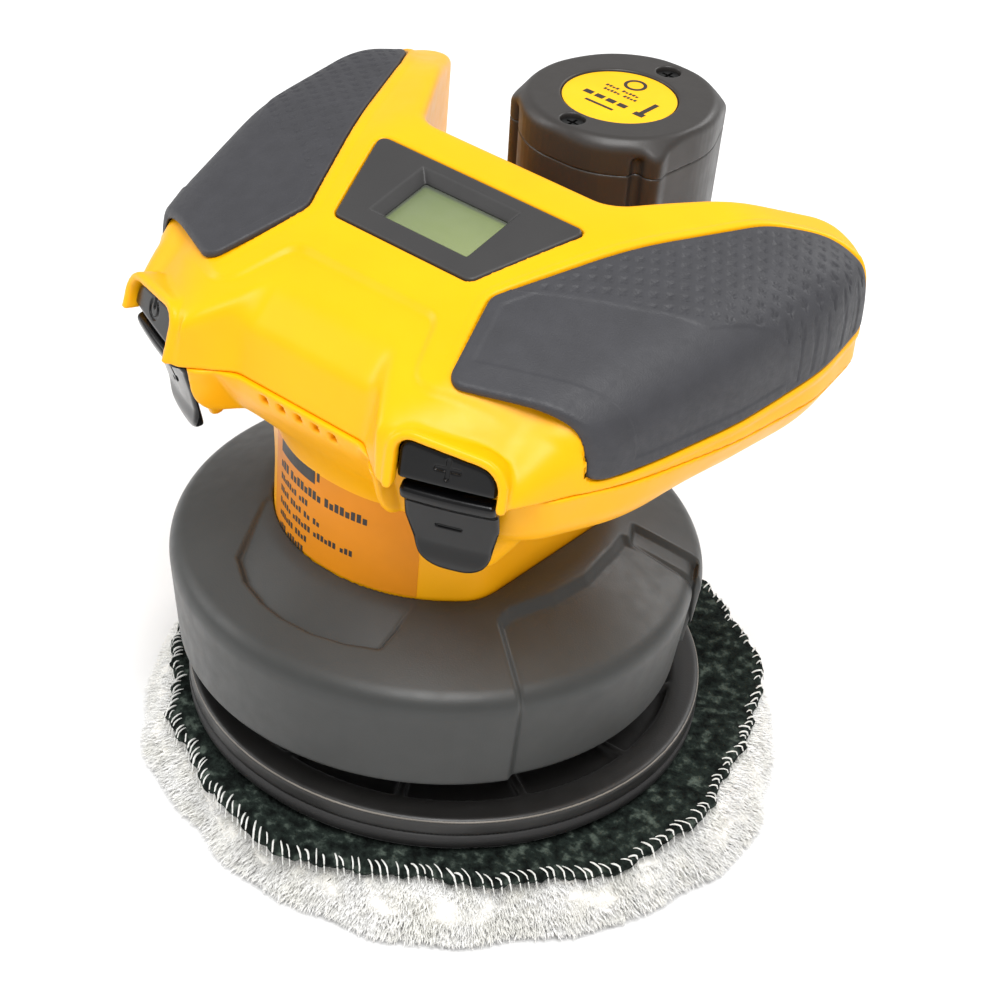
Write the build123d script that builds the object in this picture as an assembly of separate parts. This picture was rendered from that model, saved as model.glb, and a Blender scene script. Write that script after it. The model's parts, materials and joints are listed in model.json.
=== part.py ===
from build123d import *
import os
from math import atan2, cos, degrees, radians, sin

# A cordless two-hand rotary polisher, standing on its wool bonnet.
# Z is the motor axis and points up, Z = 0 is the wool's underside, the keys and display face -Y,
# and the stick battery stands at +Y. Left and right are mirror images in X. Millimetres.

# ---------------------------------------------------------------- driving dimensions
SEAM_Z = 142.5            # plane where the two yellow shells meet
WING_FLOOR_Z = 126.0      # underside of the wings
SHELL = 3.0               # moulded wall of both yellow shells
ROOF_Z = 181.4            # height of the display plateau over the motor axis
ROOF_TILT = 0.235         # rise of the plateau per millimetre towards the battery
NECK_R = 47.0             # round front and back of the neck
NECK_HALF_X = 38.5        # its flat sides
NECK_WALL = 2.5
NECK_FOOT_Z = 76.5
FLARE_Z = 118.0           # where the neck starts to flare out under the wings
FLANGE_R = 53.0
FLANGE_T = 3.0

ORBIT = 5.0               # eccentricity: a 10 mm orbit
ORBIT_ANGLE = 17.5        # where the eccentric points at rest, degrees from +X
PAD_X = ORBIT * cos(radians(ORBIT_ANGLE))
PAD_Y = ORBIT * sin(radians(ORBIT_ANGLE))
PLATE_R = 75.0            # 150 mm backing plate
BONNET_X, BONNET_Y = 5.5, 8.5   # the bonnet is pressed on a little off centre
BACKING_R = 89.5
WOOL_R = 98.0
WOOL_Z = 17.5
BACKING_Z = 20.7
HOOK_Z = 21.5
FOAM_Z = 27.0
CARRIER_Z = 32.5

SKIRT_FOOT_Z = 42.0
SKIRT_FOOT_R = 73.5
SKIRT_BAND_Z = 69.6
SKIRT_BAND_R = 76.5
SKIRT_WALL = 2.6

SHAFT_R = 3.0
RUNNING = 0.05            # radial clearance of every turning fit
MOTOR_R = 21.0
MOTOR_Z0, MOTOR_Z1 = 84.0, 136.0
HUB_Z0, HUB_Z1 = 38.0, 60.0
PAD_BEARING_R, PAD_BEARING_BORE = 11.0, 4.0

BATTERY_Z0, BATTERY_Z1 = 98.5, 188.5
CAP_Z = 178.0
BATTERY_Y = 65.5
DOCK_TOP_Z = 150.0
DOCK_WALL = 3.0
DOCK_GAP = 0.4

REAR_WALL_Y = 21.0        # back of the body between the two wings

BASE = (Align.CENTER, Align.CENTER, Align.MIN)

# Right half of the handle's plan at the seam, front to rear, as (x, y, corner radius).
HANDLE_PLAN = [
    (22, -60, 6), (36, -70.5, 4), (66, -56.5, 6), (81, -22.5, 90), (87.5, 8, 120),
    (90.5, 40, 60), (85.5, 70, 11), (66, 73, 9), (32.5, REAR_WALL_Y, 10),
]
# The part of a wing that its grip covers, drawn past the wing's outer edge, and the grip's lower edge.
GRIP_PLAN = [
    (31.2, -25.4, 5), (40.7, -52.7, 4), (77.2, -35, 4), (100, -30, 0), (100, 66.5, 0), (84, 66.5, 6),
    (73, 60.5, 20), (63.5, 46, 40), (45, 5, 90),
]
GRIP_FOOT_Z, GRIP_FOOT_TILT = 148.0, 0.07
# Section of a wing from the plateau outwards, as (x, height under the roof, corner radius).
CROWN = [(36, 0.0, 60), (86, -8.8, 22)]
CROWN_FOOT = (92.5, -60.0)
# The crown is one section pushed along three directions, each steeper towards the front than the next:
# (y that the section belongs to, its x there, its drop there, outward drift and rise per millimetre).
CROWN_RUNS = [(10, 0.0, 0.0, 0.22, ROOF_TILT), (10, 0.0, 0.0, 0.07, 0.06), (48, 2.66, 2.28, -0.12, -0.22)]
BEZEL_PLAN = [(23.3, -24.8, 4), (35.8, 7.3, 5), (-35.8, 7.3, 5), (-23.3, -24.8, 4)]
BATTERY_PLAN = [
    (11, -27, 22), (25.5, -14.5, 2.5), (27, 8, 30), (19, 25.5, 2.5), (8, 29, 12),
    (-8, 29, 12), (-19, 25.5, 2.5), (-27, 8, 30), (-25.5, -14.5, 2.5), (-11, -27, 22),
]
PADDLE_PLAN = [(-12, 0, 2), (13, 0, 2), (13, -12, 8), (9, -30, 8), (-8, -30, 8), (-12, -13, 8)]

DISPLAY_PLANE = Plane(origin=(0, 0, ROOF_Z), x_dir=(1, 0, 0), z_dir=(0, -ROOF_TILT, 1))
KEY_X_DIR = (0.923, 0.384, 0)
UPPER_KEY_PLANE = Plane(origin=(51, -62.0, 149), x_dir=KEY_X_DIR, z_dir=(0.376, -0.905, 0.2))
PADDLE_PLANE = Plane(origin=(51, -62.5, 141), x_dir=KEY_X_DIR, z_dir=(0.376, -0.905, -0.29))


# ---------------------------------------------------------------- shape helpers
def rod(radius, z0, z1, x=0.0, y=0.0):
    return Pos(x, y, z0) * Cylinder(radius, z1 - z0, align=BASE)


def ring(outer, inner, z0, z1, x=0.0, y=0.0):
    return rod(outer, z0, z1, x, y) - rod(inner, z0 - 1, z1 + 1, x, y)


def block(x0, x1, y0, y1, z0, z1):
    return Pos((x0 + x1) / 2, (y0 + y1) / 2, z0) * Box(x1 - x0, y1 - y0, z1 - z0, align=BASE)


def plan_face(plan, grow=0.0):
    """A flat face from (x, y, corner radius) rows, grown outwards by grow."""
    outline = FilletPolyline(*[(x, y) for x, y, _ in plan], radius=[r for _, _, r in plan], close=True)
    face = make_face(outline)
    return offset(face, amount=grow, kind=Kind.ARC) if grow else face


def prism(plan, z0, z1, grow=0.0):
    return Pos(0, 0, z0) * extrude(plan_face(plan, grow), z1 - z0)


def in_front_of(plane):
    """The solid half-space on the +z side of a plane."""
    return plane * Box(300, 300, 150, align=BASE)


def mirrored(shape):
    return mirror(shape, about=Plane.YZ)


def both_sides(shape):
    return shape + mirrored(shape)


def around(radius, angles):
    return [(radius * cos(radians(a)), radius * sin(radians(a))) for a in angles]


# ---------------------------------------------------------------- the handle's outer form
def handle_plan():
    left = [(-x, y, r) for x, y, r in reversed(HANDLE_PLAN)]
    return HANDLE_PLAN + left


def crown_run(drop, run):
    """Everything under one run of the right wing's crown, and level across to the left, lowered by drop."""
    y, shift, rise, drift, tilt = run
    start_y, length, far_left, depth = -100.0, 240.0, -150.0, -120.0
    (x1, z1, r1), (x2, z2, r2) = CROWN
    top = FilletPolyline((far_left, 0), (x1, z1), (x2, z2), CROWN_FOOT, radius=[r1, r2])
    rest = Polyline(CROWN_FOOT, (CROWN_FOOT[0], depth), (far_left, depth), (far_left, 0))
    section = offset(make_face([top, rest]), amount=-drop, kind=Kind.INTERSECTION)
    move_x = shift + drift * (start_y - y)
    move_z = ROOF_Z + ROOF_TILT * CROWN_RUNS[0][0] + rise + tilt * (start_y - y)
    return extrude(Pos(move_x, start_y, move_z) * (Plane.XZ * section), length, dir=(drift, 1, tilt))


def crown_solid(drop):
    """Everything under the crowned top, drawn in by drop; each wing is domed along and across."""
    right = crown_run(drop, CROWN_RUNS[0]) & crown_run(drop, CROWN_RUNS[1]) & crown_run(drop, CROWN_RUNS[2])
    return right & mirrored(right)


def front_bevel(drop):
    """The sloping hood in front of the plateau, cut from a tilted plane."""
    plan = [(24.6, -36, 0), (34, -57, 0), (34, -90, 0), (-34, -90, 0), (-34, -57, 0), (-24.6, -36, 0)]
    cut_plane = Plane(origin=(0, -36, 170.5 - drop), x_dir=(1, 0, 0), z_dir=(0, -0.69, 1))
    return in_front_of(cut_plane) & prism(plan, 100, 220, drop)


def pod_shelf(drop):
    """The slope between the front edge of a grip and the hood over its keys."""
    plan = [(34, -57.2, 0), (84, -34.2, 0), (105, -40, 0), (105, -95, 0), (34, -95, 0)]
    cut_plane = Plane(origin=(40.7, -54, 165 - drop), z_dir=(286.5, -285.7, 364.4))
    return in_front_of(cut_plane) & prism(plan, 100, 220, drop)


def pod_face(drop):
    """The leaning front of the hood over the keys."""
    face_plane = UPPER_KEY_PLANE.offset(1.2 - drop)
    return in_front_of(face_plane) & block(34.5, 80, -95, -45, SEAM_Z - 1, 200)


def upper_form(inset, z0=SEAM_Z):
    form = prism(handle_plan(), z0, 205, -inset) & crown_solid(inset)
    form = form - front_bevel(inset)
    return form - both_sides(pod_shelf(inset)) - both_sides(pod_face(inset))


def wing_skin(outer, inner):
    """The layer of the right wing's surface that its grip covers, between two depths."""
    foot = Plane(origin=(0, 0, GRIP_FOOT_Z), z_dir=(0, -GRIP_FOOT_TILT, 1))
    region = prism(GRIP_PLAN, 120, 215) & in_front_of(foot)
    region = region & prism(handle_plan(), 120, 215, -outer) & crown_solid(outer)
    return region - (prism(handle_plan(), 110, 220, -inner) & crown_solid(inner))


def grip_pocket():
    return wing_skin(-6, 1.5)


def housing_screw_places():
    return [(sx * x, y) for x, y in [(58, -34), (72, 6), (77, 46)] for sx in (-1, 1)]


def board_post_places():
    return [(sx * 24, y) for y in (-30, 10) for sx in (-1, 1)]


# ---------------------------------------------------------------- yellow shells
def upper_housing():
    shell = upper_form(0) - upper_form(SHELL, SEAM_Z - 5)
    for x, y in housing_screw_places():
        boss = rod(4, SEAM_Z, 200, x, y) & upper_form(1.6)
        shell = shell + boss - rod(1.75, SEAM_Z - 1, 156, x, y)
    for x, y in board_post_places():
        post = rod(2.8, 152.6, 200, x, y) & upper_form(1.6)
        shell = shell + post - rod(1.25, 150, 160, x, y)
    shell = shell - both_sides(grip_pocket())
    shell = shell - DISPLAY_PLANE * prism(BEZEL_PLAN, -2.4, 8)
    shell = shell - DISPLAY_PLANE * block(-17, 17, -18, 3.5, -12, 2)
    opening = [(-13.2, -9, 0), (13.2, -9, 0), (13.2, 7, 4), (-13.2, 7, 4)]
    return shell - both_sides(UPPER_KEY_PLANE * prism(opening, -8, 6))


def neck(inset, z0, z1):
    side = NECK_HALF_X - inset
    return rod(NECK_R - inset, z0, z1) & block(-side, side, -60, 60, z0, z1)


def side_flare(inset):
    """Wedges that carry the flat sides of the neck out to the wings' undersides."""
    foot, top, rise = NECK_HALF_X, NECK_HALF_X + 22, 22
    profile = make_face(Polyline((-foot, 0), (foot, 0), (top, rise), (-top, rise), close=True))
    wedge = extrude(Plane.XZ * profile, 25 - inset, both=True)
    return Pos(0, -4, FLARE_Z - 12 + 1.41 * inset) * wedge


def lower_form(inset):
    form = prism(handle_plan(), WING_FLOOR_Z + inset, SEAM_Z, -inset) + side_flare(inset)
    flare = Pos(0, 0, FLARE_Z + 1.41 * inset) * Cone(NECK_R, NECK_R + 26, 26, align=BASE)
    flare = flare & prism(handle_plan(), 100, SEAM_Z, -inset)
    top = [(37, -58), (64, -50), (72, -38), (66, -22), (40, -22), (34, -40)]
    tip = [(46.5, -44), (50, -44), (52, -42), (50.5, -38), (47, -38), (45.5, -42)]
    sections = []
    for points, z in ((tip, 108.5 + 3 * inset), (top, SEAM_Z)):
        sections.append(Pos(0, 0, z) * plan_face([(x, y, 0) for x, y in points], -inset / 2))
    bulge = loft(sections, ruled=True)
    form = form + flare + both_sides(bulge)
    paddle_room = in_front_of(PADDLE_PLANE.offset(-7 - inset)) & block(33, 80, -95, -42, 100, SEAM_Z + 1)
    return form - both_sides(paddle_room)


def dock_form(grow, z0, z1):
    return Pos(0, BATTERY_Y, 0) * prism(BATTERY_PLAN, z0, z1, grow)


def lower_housing():
    shell = lower_form(0) + neck(0, NECK_FOOT_Z, SEAM_Z)
    shell = shell + dock_form(DOCK_GAP + DOCK_WALL, 95, DOCK_TOP_Z) + block(-30, 30, REAR_WALL_Y + 0.2, 44, 95, DOCK_TOP_Z)
    neck_roof = neck(0, SEAM_Z - 1, DOCK_TOP_Z) & block(-50, 50, REAR_WALL_Y + 0.2, 50, 140, 155)
    shell = shell + (neck_roof - prism(handle_plan(), SEAM_Z, DOCK_TOP_Z + 1, 0.2))
    bay = neck(NECK_WALL, 95, DOCK_TOP_Z - SHELL) & block(-50, 50, -50, 33.5, 90, 150)
    cavity = lower_form(SHELL) + bay
    cavity = cavity + block(-60, 60, -20, 21, WING_FLOOR_Z + SHELL, SEAM_Z + 1)
    flange = rod(FLANGE_R, NECK_FOOT_Z, NECK_FOOT_Z + FLANGE_T)
    shell = shell + flange - cavity - neck(NECK_WALL, NECK_FOOT_Z - 1, 95)
    for x, y in mount_screw_places():
        boss = rod(6, MOTOR_Z0, 100, x, y) & neck(1, 80, 110)
        shell = shell + boss - rod(1.95, MOTOR_Z0 - 1, 95, x, y)
    for x, y in housing_screw_places():
        shell = shell + rod(4.6, WING_FLOOR_Z, SEAM_Z, x, y)
        shell = shell - rod(1.75, 120, SEAM_Z + 1, x, y) - rod(3.6, 120, 131, x, y)
    shell = shell - dock_form(DOCK_GAP, BATTERY_Z0 - 0.3, DOCK_TOP_Z + 1)
    for x in (-8, 8):
        shell = shell - block(x - 0.4, x + 0.4, BATTERY_Y - 3, BATTERY_Y + 3, 90, 100)
    shell = shell - block(-9, 9, 94, 105, 128, 138)
    for x, y in skirt_screw_places():
        shell = shell - rod(1.55, NECK_FOOT_Z - 1, NECK_FOOT_Z + FLANGE_T + 1, x, y)
    window = PADDLE_PLANE * block(-3.2, 3.2, -11.2, -4.8, -13, -5)
    vents = [block(x - 1.2, x + 1.2, -64, -54, SEAM_Z - 4.2, SEAM_Z - 1.8) for x in (-12, -6, 0, 6, 12)]
    return shell - both_sides(window) - vents


def grip():
    return wing_skin(-0.5, 1.5)


def housing_screws():
    parts = []
    for x, y in housing_screw_places():
        parts.append(rod(3.5, 128.5, 131, x, y) + rod(1.7, 131, 155, x, y) - rod(1.2, 128, 129.6, x, y))
    return parts


# ---------------------------------------------------------------- display and electronics
def display_bezel():
    frame = prism(BEZEL_PLAN, -2.4, -0.2) + block(-16.9, 16.9, -17.9, 3.4, -7, -0.2)
    frame = frame - block(-14, 14, -15.5, 0.5, -10, 2) - block(-15.8, 15.8, -16.9, 2.2, -10, -3.4)
    return DISPLAY_PLANE * frame


def display_lens():
    return DISPLAY_PLANE * block(-15.7, 15.7, -16.8, 2.1, -4.6, -3.4)


def lcd_module():
    return DISPLAY_PLANE * block(-15.7, 15.7, -16.8, 2.1, -8.2, -4.6)


def display_board():
    board = block(-20, 20, -22, 8, -9.8, -8.2)
    driver = block(-4, 4, -12, -4, -11.2, -9.8)
    return DISPLAY_PLANE * (board + driver)


def main_circuit_board():
    board = block(-28, 28, -34, 14, 151, 152.6)
    for x, y in board_post_places():
        board = board - rod(1.3, 150, 154, x, y)
    parts = block(-14, -4, -28, -20, 152.6, 157) + block(6, 16, 2, 10, 152.6, 156) + rod(4, 152.6, 161, 14, -24)
    return board + parts + rod(3, 152.6, 158, -16, 4) + block(-2, 8, -10, -2, 152.6, 154.2)


def board_screws():
    return [rod(2.6, 149.4, 151, x, y) + rod(1.2, 151, 159.5, x, y) for x, y in board_post_places()]


def key_switch_board():
    """Two small boards in one pod, each with a push switch behind its key."""
    upper = block(-9, 9, -3.5, 5, -12.6, -11) + block(-3, 3, -2, 4, -11, -7.8)
    upper = upper + Pos(0, 1, -7.8) * Cylinder(1.5, 0.6, align=BASE)
    lower = block(-5, 5, -12.5, -3.5, -13.6, -12) + block(-3, 3, -11, -5, -12, -8.6)
    lower = lower + Pos(0, -8, -8.6) * Cylinder(1.5, 0.6, align=BASE)
    return [UPPER_KEY_PLANE * upper, PADDLE_PLANE * lower]


# ---------------------------------------------------------------- keys
def upper_key():
    plan = [(-12.8, -4.2, 1.5), (12.8, -4.2, 1.5), (12.8, 6.5, 4), (-12.8, 6.5, 4)]
    cap = prism(plan, -3.2, 0)
    stem = Pos(0, 1, -6) * Cylinder(2.2, 3, align=BASE)
    return UPPER_KEY_PLANE * (cap + stem)


def paddle_key():
    cap = prism(PADDLE_PLAN, -4, 0)
    stem = Pos(0, -8, -6.6) * Cylinder(1.8, 2.8, align=BASE)
    return PADDLE_PLANE * (cap + stem)


# ---------------------------------------------------------------- neck label and skirt
def neck_label():
    """A printed film wrapped on the front of the neck."""
    start, sweep, height = -125, 68, 32.5
    film = ring(NECK_R + 0.3, NECK_R, 85, 85 + height)
    wedge = [(0, 0)] + around(80, [start + sweep * i / 8 for i in range(9)])
    return film & prism([(x, y, 0) for x, y in wedge], 80, 130)


def skirt_screw_places():
    return around(50, (0, 90, 180, 270))


def skirt_shroud():
    top_z = NECK_FOOT_Z + FLANGE_T
    outer = [(SKIRT_FOOT_R, SKIRT_FOOT_Z), (SKIRT_BAND_R, SKIRT_BAND_Z), (75, 71.6), (60, 80.5), (50, 84.5)]
    collar = [(30, 84.5), (30, top_z), (FLANGE_R, top_z), (58, 78.4)]
    inner = [(72.4, 70), (SKIRT_BAND_R - SKIRT_WALL, 68.4), (SKIRT_FOOT_R - SKIRT_WALL, SKIRT_FOOT_Z)]
    wall = make_face(Polyline(*outer, *collar, *inner, close=True))
    shell = revolve(Plane.XZ * wall, axis=Axis.Z) - neck(-0.2, 70, 90)
    for x, y in skirt_screw_places():
        shell = shell - rod(1.55, top_z - 1, 82.2, x, y)
    return shell


def skirt_screws():
    foot = NECK_FOOT_Z
    return [rod(2.8, foot - 2, foot, x, y) + rod(1.5, foot, 82, x, y) for x, y in skirt_screw_places()]


# ---------------------------------------------------------------- motor
def mount_screw_places():
    return around(40, (45, 135, 225, 315))


def motor_screw_places():
    return around(14.5, (90, 270))


def motor_mount_plate():
    plate = neck(NECK_WALL + 0.5, MOTOR_Z0 - 3, MOTOR_Z0) - rod(8, 80, 85)
    for x, y in mount_screw_places():
        plate = plate - rod(1.95, 80, 85, x, y)
    for x, y in motor_screw_places():
        plate = plate - rod(1.55, 80, 85, x, y)
    for x, y in around(29, (0, 60, 120, 180, 240, 300)):
        plate = plate - rod(6, 80, 85, x, y)
    return plate


def mount_plate_screws():
    z = MOTOR_Z0 - 3
    return [rod(3.2, z - 2.4, z, x, y) + rod(1.9, z, 94, x, y) for x, y in mount_screw_places()]


def motor_screws():
    z = MOTOR_Z0 - 3
    return [rod(2.8, z - 2, z, x, y) + rod(1.5, z, 85.8, x, y) for x, y in motor_screw_places()]


def motor_can():
    can = rod(MOTOR_R, MOTOR_Z0, MOTOR_Z1) - rod(19.5, 86, MOTOR_Z1 + 1)
    can = can + rod(11, 86, 90) - rod(9.5, 80, 95)
    for x, y in motor_screw_places():
        can = can - rod(1.55, 80, 88, x, y)
    return can


def motor_magnets():
    sleeve = ring(19.5, 17, 92, 127)
    right = sleeve & block(5, 30, -30, 30, 90, 130)
    return [right, mirrored(right)]


def front_bearing():
    return ring(9.5, SHAFT_R + RUNNING, 84, 90)


def rear_bush():
    return ring(5, SHAFT_R + RUNNING, 135, 141)


def motor_end_cap():
    cap = rod(MOTOR_R, MOTOR_Z1, MOTOR_Z1 + 3)
    holders = both_sides(block(8, 15, -3, 3, 129, MOTOR_Z1) - block(7, 14, -2, 2, 130, 133))
    cap = cap + holders - rod(5, 130, 145)
    return cap - both_sides(block(9.6, 10.4, -3, 3, MOTOR_Z1 - 0.5, MOTOR_Z1 + 4))


def motor_brushes():
    brush = block(6.1, 14, -2, 2, 130, 133)
    return [brush, mirrored(brush)]


def motor_terminals():
    blade = block(9.6, 10.4, -3, 3, MOTOR_Z1 - 0.5, 146)
    return [blade, mirrored(blade)]


def motor_leads():
    lead = rod(1.1, 146, 151, 10, 0)
    return [lead, mirrored(lead)]


# ---------------------------------------------------------------- rotor
def motor_shaft():
    return rod(SHAFT_R, 53, 142)


def armature():
    slots, core = 10, rod(16, 95, 125)
    for x, y in around(15, [360 * i / slots for i in range(slots)]):
        core = core - Pos(x, y, 94) * Rot(0, 0, degrees(atan2(y, x))) * Box(8, 2.4, 40, align=BASE)
    core = core + rod(13, 91, 95) + rod(13, 125, 128) + rod(6, 128, 134)
    return core - rod(SHAFT_R, 90, 136)


def cooling_fan():
    count, disc_z, top_z = 12, HUB_Z1, 73.5
    fan = rod(56, disc_z, disc_z + 2) + rod(9, disc_z, top_z)
    for i in range(count):
        blade = Pos(38, 0, disc_z + 2) * Rot(0, 0, 24) * Box(32, 1.8, top_z - disc_z - 2, align=BASE)
        fan = fan + Rot(0, 0, 360 * i / count) * blade
    return fan - rod(SHAFT_R, disc_z - 1, top_z + 1)


def eccentric_hub():
    """The boss that holds the pad bearings off the motor axis, and the weight that balances it."""
    hub = rod(14.5, HUB_Z0, 54, PAD_X, PAD_Y) + rod(26, 50, 56) + rod(12, 54, HUB_Z1)
    weight = rod(50, 51, 58) & Rot(0, 0, ORBIT_ANGLE) * block(-60, -15, -60, 60, 45, 65)
    hub = hub + weight
    hub = hub - rod(PAD_BEARING_R, HUB_Z0 - 1, 52, PAD_X, PAD_Y) - rod(SHAFT_R, 45, HUB_Z1 + 1)
    return hub - Pos(1, 0, 57.8) * Rot(0, 90, 0) * Cylinder(1.5, 15, align=BASE)


def hub_grub_screw():
    return Pos(SHAFT_R, 0, 57.8) * Rot(0, 90, 0) * Cylinder(1.45, 8.5, align=BASE)


def pad_bearings():
    inner = PAD_BEARING_BORE
    return [ring(PAD_BEARING_R, inner, z, z + 7, PAD_X, PAD_Y) for z in (HUB_Z0, HUB_Z0 + 7)]


# ---------------------------------------------------------------- pad
def plate_screw_places():
    return [(PAD_X + x, PAD_Y + y) for x, y in around(11.5, (0, 90, 180, 270))]


def pad_spindle():
    spindle = rod(16, CARRIER_Z, 36.5, PAD_X, PAD_Y) + rod(5.5, 36.5, HUB_Z0 - 0.4, PAD_X, PAD_Y)
    spindle = spindle + rod(PAD_BEARING_BORE - RUNNING, 36, 51.4, PAD_X, PAD_Y)
    for x, y in plate_screw_places():
        spindle = spindle - rod(1.95, 30, 38, x, y) - rod(3.05, 35, 38, x, y)
    return spindle


def plate_screws():
    return [rod(3, 35, 36.5, x, y) + rod(1.9, 28.5, 35, x, y) for x, y in plate_screw_places()]


def plate_carrier():
    """Hard upper half of the backing plate, with ribs between its hub and its rim."""
    ribs, dish_floor = 12, 30.0
    carrier = rod(PLATE_R - 0.5, FOAM_Z, CARRIER_Z)
    carrier = chamfer(carrier.edges().group_by(Axis.Z)[-1], 1.2)
    dish = ring(66, 20, dish_floor, CARRIER_Z + 1)
    for i in range(ribs):
        dish = dish - Rot(0, 0, 360 * i / ribs) * block(18, 68, -1.2, 1.2, dish_floor - 1, CARRIER_Z)
    carrier = Pos(PAD_X, PAD_Y, 0) * (carrier - dish)
    for x, y in plate_screw_places():
        carrier = carrier - rod(1.95, 28.5, CARRIER_Z + 1, x, y)
    return carrier


def plate_foam():
    foam = rod(PLATE_R, HOOK_Z, FOAM_Z)
    foam = chamfer(foam.edges().group_by(Axis.Z)[0], 1.5)
    return Pos(PAD_X, PAD_Y, 0) * foam


def hook_layer():
    return rod(PLATE_R - 2, BACKING_Z, HOOK_Z, PAD_X, PAD_Y)


def bonnet_backing():
    return rod(BACKING_R, WOOL_Z, BACKING_Z, BONNET_X, BONNET_Y)


def wool_bonnet():
    wool = rod(WOOL_R, 0, WOOL_Z)
    wool = fillet(wool.edges().group_by(Axis.Z)[0], 7)
    wool = fillet(wool.edges().group_by(Axis.Z)[-1], 5)
    return Pos(BONNET_X, BONNET_Y, 0) * wool


# ---------------------------------------------------------------- battery
def battery_screw_places():
    return [(0, BATTERY_Y - 20.8), (0, BATTERY_Y + 22.5)]


def battery_case():
    case = dock_form(0, BATTERY_Z0, CAP_Z) - dock_form(-2, BATTERY_Z0 + 2, CAP_Z + 1)
    for x, y in battery_screw_places():
        post = rod(4.8, 150, CAP_Z, x, y) & dock_form(-1, 140, CAP_Z)
        case = case + post - rod(1.3, 166, CAP_Z + 1, x, y)
    for x in (-8, 8):
        case = case - block(x - 1.2, x + 1.2, BATTERY_Y - 4, BATTERY_Y + 4, 90, BATTERY_Z0 + 3)
    return case


def battery_cap():
    bevel = 3.0
    lid = dock_form(0, CAP_Z, BATTERY_Z1 - bevel)
    slope = extrude(plan_face(BATTERY_PLAN), bevel, taper=45)
    lid = lid + Pos(0, BATTERY_Y, BATTERY_Z1 - bevel) * slope
    lid = lid - dock_form(-3, CAP_Z - 1, BATTERY_Z1 - bevel - 2)
    for x, y in battery_screw_places():
        lid = lid + (rod(4.6, CAP_Z, BATTERY_Z1 - bevel, x, y) & dock_form(-1, CAP_Z, 200))
        lid = lid - rod(1.65, CAP_Z - 1, 200, x, y) - rod(3.4, BATTERY_Z1 - 3.4, 200, x, y)
    return lid - rod(16.2, BATTERY_Z1 - 1.0, 200, 0, BATTERY_Y)


def battery_label():
    return rod(16.0, BATTERY_Z1 - 1.0, BATTERY_Z1 - 0.6, 0, BATTERY_Y)


def battery_screws():
    seat = BATTERY_Z1 - 3.4
    parts = []
    for x, y in battery_screw_places():
        slots = block(x - 2, x + 2, y - 0.4, y + 0.4, seat + 1, 200)
        slots = slots + block(x - 0.4, x + 0.4, y - 2, y + 2, seat + 1, 200)
        parts.append(rod(3.1, seat, seat + 2.2, x, y) + rod(1.25, 168, seat, x, y) - slots)
    return parts


def battery_cells():
    return [rod(9.2, 108, 173, x, y) for x, y in ((-10, 57), (10, 57), (0, 73.5))]


def cell_holder():
    plates = []
    for z0, z1 in ((103.5, 108), (173, 176)):
        plate = dock_form(-2.3, z0, z1)
        for x, y in battery_screw_places():
            plate = plate - rod(5, z0 - 1, z1 + 1, x, y)
        plates.append(plate)
    return plates


def battery_contacts():
    parts = []
    for x in (-8, 8):
        for side in (-1.3, 0.75):
            parts.append(block(x + side, x + side + 0.55, BATTERY_Y - 3, BATTERY_Y + 3, BATTERY_Z0 + 3, 103.5))
    return parts


def dock_terminals():
    return [block(x - 0.4, x + 0.4, BATTERY_Y - 3, BATTERY_Y + 3, 93, 103) for x in (-8, 8)]


def release_button():
    return block(-8.6, 8.6, 96.2, 100, 128.4, 137.6)


# ---------------------------------------------------------------- write one STEP per sub-part
SUBPARTS = {
    "upper_housing": upper_housing(),
    "lower_housing": lower_housing(),
    "grip_right": grip(),
    "grip_left": mirrored(grip()),
    "housing_screws": housing_screws(),
    "display_bezel": display_bezel(),
    "display_lens": display_lens(),
    "lcd_module": lcd_module(),
    "display_board": display_board(),
    "main_circuit_board": main_circuit_board(),
    "board_screws": board_screws(),
    "key_switches_right": key_switch_board(),
    "key_switches_left": [mirrored(piece) for piece in key_switch_board()],
    "speed_up_key": upper_key(),
    "speed_down_key": paddle_key(),
    "power_key": mirrored(upper_key()),
    "mode_key": mirrored(paddle_key()),
    "neck_label": neck_label(),
    "skirt_shroud": skirt_shroud(),
    "skirt_screws": skirt_screws(),
    "motor_mount_plate": motor_mount_plate(),
    "mount_plate_screws": mount_plate_screws(),
    "motor_screws": motor_screws(),
    "motor_can": motor_can(),
    "motor_magnets": motor_magnets(),
    "front_bearing": front_bearing(),
    "rear_bush": rear_bush(),
    "motor_end_cap": motor_end_cap(),
    "motor_brushes": motor_brushes(),
    "motor_terminals": motor_terminals(),
    "motor_leads": motor_leads(),
    "motor_shaft": motor_shaft(),
    "armature": armature(),
    "cooling_fan": cooling_fan(),
    "eccentric_hub": eccentric_hub(),
    "hub_grub_screw": hub_grub_screw(),
    "pad_bearings": pad_bearings(),
    "pad_spindle": pad_spindle(),
    "plate_screws": plate_screws(),
    "plate_carrier": plate_carrier(),
    "plate_foam": plate_foam(),
    "hook_layer": hook_layer(),
    "bonnet_backing": bonnet_backing(),
    "wool_bonnet": wool_bonnet(),
    "battery_case": battery_case(),
    "battery_cap": battery_cap(),
    "battery_label": battery_label(),
    "battery_screws": battery_screws(),
    "battery_cells": battery_cells(),
    "cell_holder": cell_holder(),
    "battery_contacts": battery_contacts(),
    "dock_terminals": dock_terminals(),
    "release_button": release_button(),
}

os.makedirs("parts", exist_ok=True)
for name, shape in SUBPARTS.items():
    solids = shape if isinstance(shape, list) else [shape]
    body = solids[0] if len(solids) == 1 else Compound(children=[Part(s.wrapped) for s in solids])
    export_step(body, f"parts/{name}.step")
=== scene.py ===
"""Looks of a cordless rotary polisher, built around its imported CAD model.

Shells, grips, keys and skirt are implicit solids in millimetres, meshed by surface nets; the plate, the
bonnet's backing and the marks are direct meshes, and the wool is strands over a lumpy base.
"""

import json
from itertools import product
from math import cos, pi, radians, sin, tan

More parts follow.
